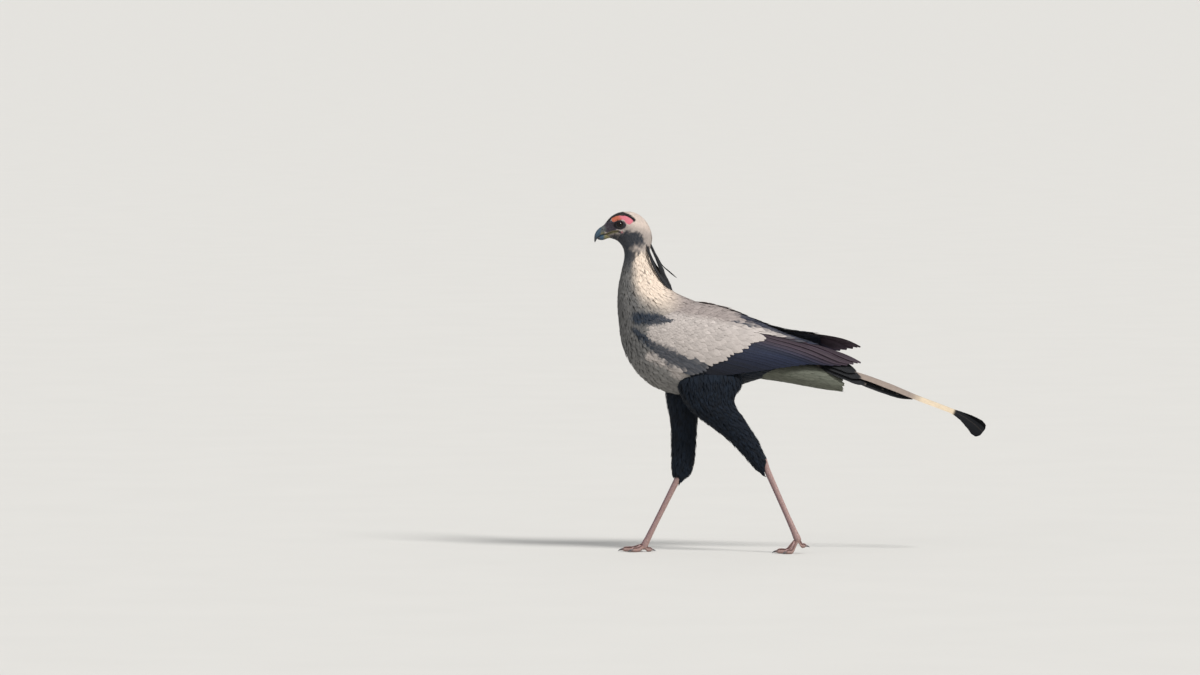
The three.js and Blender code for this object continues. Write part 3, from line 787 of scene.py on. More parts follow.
def feather_look(name, roughness, shaft, depth, sheen=0.25, drawn=0.55, shine=0.35, ridge=0.5):
    """Feather keratin, matt: slanting barbs as a sine across the vane, drawn coarser than life so that they
    show, a mottle from feather to feather, and a line for the shaft."""
    made, add, shader, place = blank(name, Roughness=roughness, IOR=1.54, Specular_IOR_Level=shine,
                                     Sheen_Weight=sheen, Sheen_Roughness=0.4)
    across = add("SeparateXYZ", [add("UVMap", uv_map="Vane")])
    off = add("Math", [across], operation="ABSOLUTE")
    slant = add("Math", [off, -1.3, across.node.outputs[1]], operation="MULTIPLY_ADD")
    bent = add("Math", [add("TexNoise", blobs(place, 6)), 2.5, slant], operation="MULTIPLY_ADD")
    phase = add("Math", [bent, 2 * math.pi * MM / sizes().barb], operation="MULTIPLY")
    barbs = add("Math", [add("Math", [phase], operation="SINE"), 0.5, 0.5], operation="MULTIPLY_ADD")
    line = add("Math", [off, -1.6, 1.0], operation="MULTIPLY_ADD", use_clamp=True)
    shade = add("Math", [barbs, depth, 1 - depth], operation="MULTIPLY_ADD")
    mottle = add("Math", [add("TexNoise", blobs(place, 12)), 0.3, 0.85], operation="MULTIPLY_ADD")
    tone = add("Math", [shade, mottle], operation="MULTIPLY")
    height = add("Math", [barbs, line], operation="ADD")
    share = add("Math", [line, drawn], operation="MULTIPLY")
    dress(add, shader, tone, height, 0.4, ridge, (share, (*linear(shaft), 1)))
    return made


def skin_look():
    """Bare skin: soft and slightly moist, darker in fine wrinkles about a millimetre apart, as painted shade
    in them.
    """
    made, add, shader, place = blank("bare skin, finely wrinkled", Roughness=0.55, IOR=1.4,
                                     Subsurface_Weight=0.12, Subsurface_Radius=(0.004, 0.0015, 0.001))
    folds = add("TexVoronoi", {"Vector": place, "Scale": WRINKLES / MM}, feature="DISTANCE_TO_EDGE")
    depth = add("Math", [folds, 4.0], operation="MULTIPLY", use_clamp=True)
    dress(add, shader, add("Math", [depth, 0.21, 0.84], operation="MULTIPLY_ADD"), depth, 0.5)
    return made


def scale_look():
    """Horny leg scales: dull keratin with a waxy edge shine, mottled darker and lighter in blobs about 1.6 mm
    across.
    """
    made, add, shader, place = blank("leg scale, horny", Roughness=0.48, IOR=1.5)
    grain = add("TexNoise", blobs(place, 1.6, 4.0))
    dress(add, shader, add("Math", [grain, 0.5, 0.72], operation="MULTIPLY_ADD"), grain, 0.3, 0.4)
    return made


def horn_look(name, roughness):
    """Horn: translucent keratin worn smooth, with growth lines along it and a soft shine."""
    made, add, shader, place = blank(name, Roughness=roughness, IOR=1.54, Coat_Weight=0.12,
                                     Coat_Roughness=0.25)
    inputs = {"Vector": place, "Scale": GROWTH_LINES / MM, "Distortion": 3.0, "Detail": 3.0}
    growth = add("TexWave", inputs, 1, bands_direction="DIAGONAL")
    lines = add("Math", [growth, 0.05, 0.95], operation="MULTIPLY_ADD")
    mottle = add("Math", [add("TexNoise", blobs(place, 4)), 0.3, 0.85], operation="MULTIPLY_ADD")
    dress(add, shader, add("Math", [lines, mottle], operation="MULTIPLY"), growth, 0.2, 0.08)
    return made


def eye_look():
    """Wet eye: the iris lies under a clear, mirror-smooth cornea."""
    made, add, shader, place = blank("eye, wet cornea", Roughness=0.04, IOR=1.376, Specular_IOR_Level=0.3)
    fleck = add("TexNoise", blobs(place, 1.2))
    dress(add, shader, add("Math", [fleck, 0.6, 0.7], operation="MULTIPLY_ADD"))
    return made


def floor_look():
    """Studio floor: matt painted board with faint mottling."""
    made, add, shader, place = blank("painted board, matt", Roughness=0.85)
    mottle = add("TexNoise", blobs(place, 400))
    dress(add, shader, add("Math", [mottle, 0.05, 0.97], operation="MULTIPLY_ADD"))
    return made


# Feathers: name, roughness, shaft's colour, barbs' contrast, sheen, shaft line's strength, shine, relief.
LOOKS = {
    "soft": (feather_look, "feather, soft contour", 0.8, "#8F857C", 0.12, 0.08, 0.2, 0.2, 0.2),
    "covert": (feather_look, "feather, firm covert", 0.72, "#857B73", 0.13, 0.1, 0.4, 0.3, 0.25),
    "flight": (feather_look, "feather, stiff flight", 0.55, "#15151A", 0.22, 0.04, 0.55, 0.22),
    "trouser": (feather_look, "feather, black and shaggy", 0.75, "#101117", 0.4, 0.04, 0.4, 0.18),
    "crest": (feather_look, "feather, black and glossy", 0.5, "#17181E", 0.12, 0.08),
    "plume": (feather_look, "feather, long plume", 0.65, "#8A7868", 0.12, 0.02, 0.25, 0.15),
    "skin": (skin_look,),
    "scale": (scale_look,),
    "horn": (horn_look, "bill horn, polished", 0.32),
    "claw": (horn_look, "claw horn, worn", 0.42),
    "eye": (eye_look,),
    "floor": (floor_look,),
}
made_looks = {}


def look(label):
    """A material by its short name, made once."""
    if label not in made_looks:
        maker, *settings = LOOKS[label]
        made_looks[label] = maker(*settings)
    return made_looks[label]


# Skin, eyes, bill, feet


def coat_depth(u):
    """The coat's depth over the skin at u along the body, in millimetres."""
    return values(COAT_DEPTH, u)


def head_relief(points):
    """Brow ridge, lips along the gape, folds round the eye, hollow lores: heights over the plain head, in
    metres, each a bell curve or sine over the distance from its line or oval."""
    x, _, z = side_view(points)
    on_head = smooth(-x, 195, 225) * smooth(z, 1020, 1035)
    brow = 1.0 * np.exp(-(near_line(x, z, BROW_LINE) / 4.5) ** 2)
    gape = near_line(x, z, GAPE_LINE)
    lips = 1.5 * np.exp(-((gape - 4) / 2.2) ** 2) - 1.6 * np.exp(-(gape / 1.7) ** 2)
    round_eye = np.hypot(x - EYE_X, z - EYE_Z)
    folds = 0.55 * np.sin(2 * np.pi * round_eye / 4.6) * (1 - smooth(round_eye, 26, 36)) * bare_face(points)
    lores = -2.2 * (1 - smooth(oval(x, z, -292, 1080, 16, 11, 15), 0.4, 1.1))
    return (brow + lips + folds + lores) * on_head * MM


def eye_axes(side):
    """The eye's middle, the way it looks, and two ways across it, ahead and up."""
    middle = in_frame(EYE_X, side * EYE_OUT, EYE_Z)
    gaze = unit(np.array(GAZE) * [1, side, 1])
    up = unit(np.array([0, 0, 1.0]) - gaze * gaze[2])
    return middle, gaze, np.cross(up, gaze), up


def turned_round(side, profile, around, ahead_scale=1.0, up_scale=1.0):
    """A profile of radius and height swept round the eye's axis."""
    middle, gaze, ahead, up = eye_axes(side)
    turn = 2 * np.pi * np.arange(around) / around
    radius, height = np.array(profile, float).T[:, :, None] * MM
    flat = ahead * (np.cos(turn) * ahead_scale)[:, None] + up * (np.sin(turn) * up_scale)[:, None]
    return middle + radius[..., None] * flat[None] + height[..., None] * gaze


# The lid's section round the eye's axis: radius, height.
LID_PROFILE = [
    (9.3, 5.2), (9.2, 7.4), (9.7, 8.1), (10.6, 8.2), (11.8, 7.7), (12.7, 7.9), (13.8, 7.0), (16, 4.8),
    (16, 1.0), (9.3, 1.0),
]


def lid(side):
    """A ring of skin round the eyeball, thick at its margin, with one fold, its section closed on itself."""
    points = turned_round(side, LID_PROFILE, 72, 1.06, 0.93)
    rings, around, _ = points.shape
    number = np.arange(rings * around).reshape(rings, around)
    after, turned = np.roll(number, -1, 0), np.roll(number, -1, 1)
    quads = np.stack([number, turned, np.roll(after, -1, 1), after], -1).reshape(-1, 4)
    return outward(write_mesh("lid", points.reshape(-1, 3), [quads]))


def outward(made):
    """The same object with its faces turned out, told by the volume they enclose."""
    mesh = made.data
    mesh.calc_loop_triangles()
    corners = np.zeros(len(mesh.loop_triangles) * 3, np.int32)
    mesh.loop_triangles.foreach_get("vertices", corners)
    a, b, c = places(mesh)[corners.reshape(-1, 3)].transpose(1, 0, 2)
    if np.einsum("ij,ij->", a, np.cross(b, c)) < 0:
        mesh.flip_normals()
    return made


def applied(made, *modifiers):
    """The object with the modifiers worked into its mesh."""
    for kind, settings in modifiers:
        modifier = made.modifiers.new(kind.title(), kind)
        for label, value in settings.items():
            setattr(modifier, label, value)
    graph = bpy.context.evaluated_depsgraph_get()
    mesh = bpy.data.meshes.new_from_object(made.evaluated_get(graph))
    made.modifiers.clear()
    mesh.materials.clear()
    made.data = mesh
    return made


def leg(side):
    """Shank and toes grown into one piece: voxels as small as a scale, then smoothed, with flat soles."""
    parts = [(over(Shaft(side), np.array(SHANK_REACH[1:], float), 28), False)]
    for spec in TOES:
        parts.append((over(Toe(side, spec), np.linspace(0, 1, 24), 24), True))
    points, faces, start = [], [], 0
    for grid, flip in parts:
        flat, sets = tube(grid, flip)
        points.append(flat)
        faces += [f + start for f in sets]
        start += len(flat)
    made = write_mesh("leg", np.concatenate(points), faces)
    grown = ("REMESH", {"mode": "VOXEL", "voxel_size": LEG_VOXEL * MM})
    made = applied(made, grown, ("SMOOTH", {"iterations": 3}))
    points = places(made.data)
    points[:, 2] = np.maximum(points[:, 2], 0)
    made.data.vertices.foreach_set("co", points.reshape(-1))
    return outward(made)


def thigh(side):
    """The thigh's outer form on one side."""
    rows = NEAR_THIGH if side == LEFT else FAR_THIGH
    return Outline(rows, side * (FOOT_OUT + 4))


def thigh_depth(surface, u):
    """The coat's depth over a thigh: 11 mm, thinning to 4 at the heel."""
    return 11 - 7 * smooth(u, surface.last - 1.4, surface.last)


def join(first, others):
    """The first object grown together with the others."""
    for other in others:
        applied(first, ("BOOLEAN", {"operation": "UNION", "solver": "MANIFOLD", "object": other}))
        bpy.data.objects.remove(other)
        if not first.data.polygons:
            raise RuntimeError("the skin's parts don't join")
    return first


def skin_colour(points):
    """The coat's markings and painted shade under the feathers, bare skin on the face, and scales' colour on
    the legs.
    """
    c = colours()
    x, _, z = side_view(points)
    face = bare_face(points) * smooth(-x, 190, 215) * smooth(z, 1030, 1036)
    near = np.hypot(x - HEELS[LEFT][0], z - HEELS[LEFT][1]) < 26
    far = np.hypot(x - HEELS[RIGHT][0], z - HEELS[RIGHT][1]) < 26
    bare = np.where(x > 90, z < 300, z < 262) | near & (z < 312) | far & (z < 275)
    return blend(
        coat_colour(points),
        (face_colour(points), face),
        (c.thigh, 1 - smooth(z, 505, 530)),
        # Bare leg skin, between the scales: the scales' colour, darker.
        (np.array(c.leg) * 0.72, bare * 1.0))


class BIRD_OT_skin(bpy.types.Operator):
    """Head, neck, trunk, thighs, shanks and toes as one skin, sunk under the coat by its depth"""
    bl_idname = "bird.skin"
    bl_label = "Skin"

    def execute(self, context):
        u = np.concatenate([np.linspace(0, 4.6, 150), np.linspace(4.7, 14, 70)])
        body = write_mesh("skin", *tube(over(Outline(BODY), u, 160, coat_depth(u), head_relief)))
        others = [lid(side) for side in (LEFT, RIGHT)]
        for side in (LEFT, RIGHT):
            surface = thigh(side)
            u = np.linspace(0, surface.last, 60)
            others.append(write_mesh("thigh", *tube(over(surface, u, 48, thigh_depth(surface, u)))))
            others.append(leg(side))
        body = join(body, others)
        paint(body.data, skin_colour(places(body.data).astype(float)))
        body.data.polygons.foreach_set("use_smooth", np.ones(len(body.data.polygons), bool))
        limbs = [f"{limb}_{label}" for limb in ("thigh", "shank") for _, label in SIDES]
        toes = [f"toe_{label}_{spec[0]}" for _, label in SIDES for spec in TOES]
        nodes = ["head", "neck", "trunk", *limbs, *toes]
        finish(body, "skin", "leg_skin", *nodes)
        return {"FINISHED"}


class BIRD_OT_eyes(bpy.types.Operator):
    """Eyeballs with a brown iris, and lashes over the upper lid"""
    bl_idname = "bird.eyes"
    bl_label = "Eyes"

    def execute(self, context):
        c = colours()
        for side, label in SIDES:
            angle = np.linspace(0.001, np.pi - 0.001, 60)
            cornea = 0.5 * (1 - smooth(angle, 0.2, 0.62))
            profile = np.stack([np.sin(angle), np.cos(angle)], 1) * (EYE_RADIUS + cornea)[:, None]
            grid = turned_round(side, profile, 72)
            flat, faces = tube(grid)
            across = np.concatenate([np.repeat(angle, 72), [0, np.pi]])
            iris = np.array(c.iris) * (0.75 + 0.9 * smooth(across, 0.42, 0.75))[:, None]
            ring = smooth(across, 0.46, 0.52) * (1 - 0.85 * smooth(across, 0.72, 0.84))
            tint = iris * ring[:, None]
            ball = outward(write_mesh(f"eyeball_{label}", flat, faces, tint + 0.002))
            finish(ball, "eye", "eye", f"eye_{label}")
            self.lashes(side, label)
        return {"FINISHED"}

    def lashes(self, side, label):
        """Lashes: thin bristles from the upper lid's margin, out and up, curved back at their ends."""
        chance = np.random.default_rng(31)
        count = 34
        middle, gaze, ahead, up = eye_axes(side)
        turn = np.linspace(0.3, 2.9, count) + chance.uniform(-0.03, 0.03, count)
        flat = ahead * np.cos(turn)[:, None] + up * np.sin(turn)[:, None]
        reach = (8 + 3.5 * chance.random(count)) * MM
        s = np.linspace(0, 1, 6)[None, :, None]
        root = middle + flat * 10.3 * MM + gaze * 8.0 * MM
        out = flat[:, None] * (0.75 * s + 0.2 * s**2) + gaze * (0.75 * s - 0.35 * s**2)
        centre = root[:, None] + out * reach[:, None, None]
        tint = np.broadcast_to(np.array(colours().lid) * 0.5, centre.shape)
        home = np.stack([0.1 + 0.8 * turn / 3, np.full(count, 0.5)], 1)
        piece = vanes(f"lashes_{label}", centre, np.broadcast_to(gaze, centre.shape),
                      np.full(count, 0.35 * MM), LANCE, NARROW, 0.4 * MM, tint, home)
        finish(piece, "trouser", "thigh_plumage")


class BIRD_OT_bill(bpy.types.Operator):
    """Upper and lower bill: cere, nostrils, blue-grey horn and a dark hooked tip"""
    bl_idname = "bird.bill"
    bl_label = "Bill"

    def execute(self, context):
        c = colours()

        def upper_relief(points):
            """A nostril's hollow and the cere's swelling."""
            x, _, z = side_view(points)
            nostril = -2.6 * (1 - smooth(oval(x, z, -322, 1069, 4.4, 2.0, 40), 0.3, 1.2))
            cere = 0.7 * smooth(x, -331, -325)
            return (nostril + cere) * MM

        flat, faces = tube(over(Outline(UPPER_BILL), np.linspace(0, 6, 110), 64, 0.0, upper_relief))
        x, _, z = side_view(flat)
        tint = blend(
            c.horn,
            (c.cere, smooth(x - 0.15 * (z - 1060), -331, -326)),
            (c.gape, 0.7 * (1 - smooth(near_line(x, z, [(-324, 1055), (-308, 1059)]), 2, 5))),
            (c.horn_tip, 1 - smooth(z + 0.9 * (x + 348), 1034, 1062)),
            # Painted shade in the nostril's hollow.
            (c.horn_tip, 1 - smooth(oval(x, z, *NOSTRIL), 0.6, 1.2)),
            (c.horn_tip, 0.6 * smooth(z - 0.9 * x, 1362, 1376) * (1 - smooth(x, -336, -322))))
        finish(write_mesh("upper_bill", flat, faces, tint), "horn", "bill_horn", "bill_upper")
        flat, faces = tube(over(Outline(LOWER_BILL), np.linspace(0, 4, 60), 48))
        x, _, z = side_view(flat)
        tint = blend(c.horn, (c.gape, smooth(x, -322, -310)), (c.horn_tip, 1 - smooth(x, -334, -326)))
        finish(write_mesh("lower_bill", flat, faces, tint), "horn", "bill_horn_pale", "bill_lower")
        return {"FINISHED"}


class BIRD_OT_claws(bpy.types.Operator):
    """Claws: tapering horn, bent down, blunt from walking"""
    bl_idname = "bird.claws"
    bl_label = "Claws"

    def execute(self, context):
        for side, label in SIDES:
            for spec in TOES:
                self.claw(Toe(side, spec), f"{label}_{spec[0]}")
        return {"FINISHED"}

    def claw(self, toe, label):
        """Round sections along an arc that leaves the toe's end straight ahead and bends down."""
        k = np.linspace(0, 1, 18)
        bend = k * CLAW_BEND
        tip = toe.line[4]
        p = tip + toe.ahead * (-3 + toe.claw * np.sin(bend))[:, None]
        p = p + np.array([0, 0, 1.0]) * (1.5 - 0.45 * toe.claw * (1 - np.cos(bend)))[:, None]
        radius = (toe.thick * 0.5 * (1 - k) + 0.7) * np.sqrt(1 - 0.6 * smooth(k, 0.9, 1))
        turn = 2 * np.pi * np.arange(20) / 20
        ring = toe.across * np.sin(turn)[:, None] + np.array([0, 0, 1.0]) * np.cos(turn)[:, None]
        grid = p[:, None] + radius[:, None, None] * ring[None]
        grid[..., 2] = np.maximum(grid[..., 2], 0)
        flat, faces = tube(in_frame(grid[..., 0], grid[..., 1], grid[..., 2]), True)
        c = colours()
        base = np.linalg.norm(flat - in_frame(*tip), axis=1) / MM
        tint = blend(c.horn_tip, (np.array(c.leg) * 0.5, 1 - smooth(base, 2, 8)))
        piece = outward(write_mesh(f"horn_{label}", flat, faces, tint))
        finish(piece, "claw", "claw_horn", f"claw_{label}")


class BIRD_OT_scales(bpy.types.Operator):
    """Scales of the legs: broad plates down the front, small ones round the rest, plates over the toes"""
    bl_idname = "bird.scales"
    bl_label = "Leg scales"

    def execute(self, context):
        for side, label in SIDES:
            chance = np.random.default_rng(71 + side)
            surface = Shaft(side)
            begin = 12 if side == LEFT else 30
            rows = np.arange(begin, 290, SCUTES)
            self.plates(f"scutes_{label}", surface, rows, np.full(len(rows), 0.5), 11.2, 6.6, 0.42, chance)
            u, v = rows_of_roots(surface, begin - 6, 296, SMALL_SCALES, chance)
            kept = np.abs(v - 0.5) > 0.13
            self.plates(f"small_scales_{label}", surface, u[kept], v[kept], 6.2, 2.5, 0.12, chance)
            for spec in TOES:
                toe = Toe(side, spec)
                k = np.linspace(0.04, 0.93, 60)
                gone = np.linalg.norm(np.diff(toe(k, 0 * k), axis=0), axis=1).cumsum() / MM
                rows = np.interp(np.arange(0, gone[-1], TOE_SCUTES), gone, k[1:])
                top = np.zeros(len(rows))
                wide = 0.76 * toe.thick * (1 - 0.2 * rows) * (1 - 0.3 * smooth(rows, 0.8, 0.93))
                self.plates(f"toe_scutes_{label}_{spec[0]}", toe, rows, top, 7.6, wide, 0.74, chance)
        return {"FINISHED"}

    def plates(self, name, surface, u, v, reach, half, camber, chance):
        """Plates like roof tiles: each starts on the skin and its free end stands a little over the next."""
        us, vs = march(surface, u, v, reach * MM, 4)
        s = np.linspace(0, 1, 4)
        sink = np.broadcast_to((0.85 - 1.2 * s) * MM, us.shape)
        centre, out = lay(surface, us, vs, sink)
        # front: the share of painted shade, full down the shank's front and a constant 0.4 on the toes.
        front = 0.5 - 0.5 * np.cos(2 * np.pi * v) if surface.last > 1 else 0.4 + 0 * v
        tint = blend(colours().leg, (colours().leg_front_shade, 0.85 * front))[:, None]
        uneven = chance.normal(1, 0.1, (len(u), 1, 1)).clip(0.7, 1.25)
        tint = np.broadcast_to(tint, centre.shape) * uneven * (1.05 - 0.25 * s[None, :, None] ** 3)
        home = homes(v % 1, u / surface.last, 0.02, (0.9, 0.94))
        broad = np.max(half) > 4
        shape = [1, 1, 1, 0.96, 0.8] if broad else [0.75, 1, 1, 0.8, 0.35]
        cross = BROAD if broad else NARROW
        half = half * np.ones(len(u)) * MM
        piece = vanes(name, centre, out, half, shape, cross, 0.7 * MM, tint, home, camber)
        finish(piece, "scale", "leg_skin")


# Plumage


def contour(name, surface, u, v, chance, reach, half, depth, tint_of, label, slot, outline, rings, stand,
            spread=0.12, tones=0.07, streaks=0.0, root=0.8, thick=0.4):
    """A tract of body feathers: roots sunk to the skin, paths along the coat, tips at its outer surface."""
    count = len(u)
    reach = np.broadcast_to(reach, count) * chance.uniform(0.85, 1.12, count)
    half = np.broadcast_to(half, count) * chance.uniform(0.88, 1.1, count)
    us, vs = march(surface, u, v, reach, rings, chance.normal(0, spread, count))
    s = np.linspace(0, 1, rings)
    rise = np.broadcast_to(depth, count)[:, None] * (1 - s) ** 2.2
    sink = rise - chance.uniform(-0.6, 1.6, count)[:, None] * stand * MM * s**2
    centre, out = lay(surface, us, vs, sink)
    tint = shaded(tint_of(centre), chance, tones, root)
    if streaks:
        dark = (chance.random(count) < streaks)[:, None, None]
        tint = np.where(dark, tint * 0.45, tint)
    home = homes(v % 1, u / surface.last, 0.02, 0.94)
    roll = chance.normal(0, 0.07, count)[:, None]
    notch = chance.uniform(0.82, 1.06, (count, rings))
    piece = vanes(name, centre, out, half, outline, NARROW, thick * MM, tint, home, CAMBER, roll, notch)
    return finish(piece, label, slot)


class BIRD_OT_head_feathers(bpy.types.Operator):
    """Short, tight feathers of the head, smallest at the bill, none on the bare face"""
    bl_idname = "bird.head_feathers"
    bl_label = "Head feathers"

    def execute(self, context):
        chance = np.random.default_rng(11)
        surface = Outline(BODY)
        u, v = rows_of_roots(surface, *TRACTS["head"], chance)
        x, _, z = side_view(surface(u, v))
        grow = 0.5 + 0.5 * smooth(u, 0.6, 3.0) + 0.55 * smooth(u, 3.6, 5.0)
        grow = grow * (0.66 + 0.34 * smooth(np.hypot(x - EYE_X, z - EYE_Z + 8), 28, 52))
        reach = 1.35 * sizes().head * grow
        for _ in range(4):
            path = surface(*march(surface, u, v, 1.1 * reach, 5))
            crossed = bare_face(path).max(1) > 0.2
            reach = np.where(crossed, reach * 0.7, reach)
            grow = np.where(crossed, grow * 0.85, grow)
        u, v, reach, grow = (k[~crossed] for k in (u, v, reach, grow))
        depth = coat_depth(u) * MM * 0.75
        contour("head_feathers", surface, u, v, chance, reach, 3.0 * MM * grow**0.8, depth, coat_colour,
                "soft", "buff_plumage", SLIM, 5, stand=0.15, tones=0.05, root=0.94, thick=0.22)
        u, v = rows_of_roots(surface, *TRACTS["lores"], chance)
        x, _, z = side_view(surface(u, v))
        kept = (oval(x, z, -296, 1078, 22, 20, 20) < 0.95) & (near_line(x, z, GAPE_LINE) > 5)
        contour("lore_bristles", surface, u[kept], v[kept], chance, 6 * MM, 0.4 * MM, 0.6 * MM, face_colour,
                "trouser", "buff_plumage", LANCE, 4, stand=0.8, spread=0.3)
        return {"FINISHED"}


class BIRD_OT_neck_feathers(bpy.types.Operator):
    """Narrow, pointed feathers of the neck, a few of them dark as streaks"""
    bl_idname = "bird.neck_feathers"
    bl_label = "Neck feathers"

    def execute(self, context):
        chance = np.random.default_rng(12)
        surface = Outline(BODY)
        u, v = rows_of_roots(surface, *TRACTS["neck"], chance)
        grow = 0.62 + 0.38 * smooth(u, 4.6, 6.6) + 0.25 * smooth(u, 7, 8.4)
        contour("neck_feathers", surface, u, v, chance, 1.15 * sizes().neck * grow, 4.6 * MM * grow,
                coat_depth(u) * MM, coat_colour, "soft", "buff_plumage", SLIM, 7, stand=0.7, streaks=0.05,
                tones=0.08, root=0.88, thick=0.3)
        return {"FINISHED"}


class BIRD_OT_body_feathers(bpy.types.Operator):
    """Rounded feathers of breast, belly and back"""
    bl_idname = "bird.body_feathers"
    bl_label = "Body feathers"

    def execute(self, context):
        chance = np.random.default_rng(13)
        surface = Outline(BODY)
        for label in ("breast", "belly"):
            u, v = rows_of_roots(surface, *TRACTS[label], chance)
            grow = 0.9 + 0.25 * smooth(u, 8.5, 11)
            contour(f"{label}_feathers", surface, u, v, chance, sizes().body * grow, 8.0 * MM * grow,
                    coat_depth(u) * MM, coat_colour, "soft", "grey_plumage", CONTOUR, 7, stand=1.2)
        return {"FINISHED"}


class BIRD_OT_thigh_feathers(bpy.types.Operator):
    """Loose black feathers of the thighs, shorter towards the heel"""
    bl_idname = "bird.thigh_feathers"
    bl_label = "Thigh feathers"

    def execute(self, context):
        for side, label in SIDES:
            chance = np.random.default_rng(14 + side)
            surface = thigh(side)
            u, v = rows_of_roots(surface, 0.1, surface.last - 0.45, THIGH_ROOTS, chance)
            low = smooth(u, surface.last - 1.6, surface.last - 0.4)
            depth = thigh_depth(surface, u) * MM
            contour(f"thigh_feathers_{label}", surface, u, v, chance, sizes().thigh * (1 - 0.3 * low),
                    6.2 * MM * (1 - 0.35 * low), depth, plain(colours().thigh), "trouser", "thigh_plumage",
                    LANCE, 7, stand=2.2, spread=0.2, tones=0.3)
        return {"FINISHED"}


def locate(x, z):
    """The wing's u, v at places in side view: the nearest of a grid of samples, then Newton steps."""
    surface = Wing(LEFT, 0)
    gu, gv = np.meshgrid(np.linspace(0, surface.last, 90), np.linspace(0.02, 0.98, 26), indexing="ij")
    sample = surface(gu, gv).reshape(-1, 3)
    x, z = np.asarray(x, float) * MM + MIDDLE_X, np.asarray(z, float) * MM
    away = (x.reshape(-1, 1) - sample[:, 0]) ** 2 + (z.reshape(-1, 1) - sample[:, 2]) ** 2
    best = away.argmin(1)
    u, v = gu.reshape(-1)[best].reshape(x.shape), gv.reshape(-1)[best].reshape(x.shape)
    for _ in range(6):
        p, along, down, _ = tangents(surface, u, v)
        rx, rz = x - p[..., 0], z - p[..., 2]
        det = along[..., 0] * down[..., 2] - along[..., 2] * down[..., 0]
        det = np.where(np.abs(det) < 1e-5, 1e-5, det)
        u = u + np.clip((rx * down[..., 2] - rz * down[..., 0]) / det, -0.5, 0.5)
        v = v + np.clip((rz * along[..., 0] - rx * along[..., 2]) / det, -0.12, 0.12)
        u, v = np.clip(u, -0.4, surface.last + 0.5), np.clip(v, -0.06, 1.08)
    return u, v


def covert_rows():
    """Covert tips in rows parallel to the pale edge, each row a step further up: x, z, length, half width."""
    (x0, z0), (x1, z1) = COVERT_EDGE
    edge = unit(np.array([x1 - x0, z1 - z0], float))
    lie = math.radians(COVERT_LIE)
    back = np.array([-math.cos(lie), -math.sin(lie)])
    offset, k, rows = 0.0, 0, []
    while offset < COVERT_ROWS:
        share = smooth(offset, 0, 170)
        half = COVERT_HALF - 6.5 * share
        reach = sizes().covert / MM * (1 - 0.66 * share)
        gap = half * 1.02
        along = np.arange(*COVERT_RUN, gap) + (k % 2) * gap / 2
        tips = np.array([x0, z0]) + edge * along[:, None] + back * offset
        rows.append(np.column_stack([tips, np.full(len(along), reach), np.full(len(along), half)]))
        offset += reach * 0.3
        k += 1
    return np.concatenate(rows)


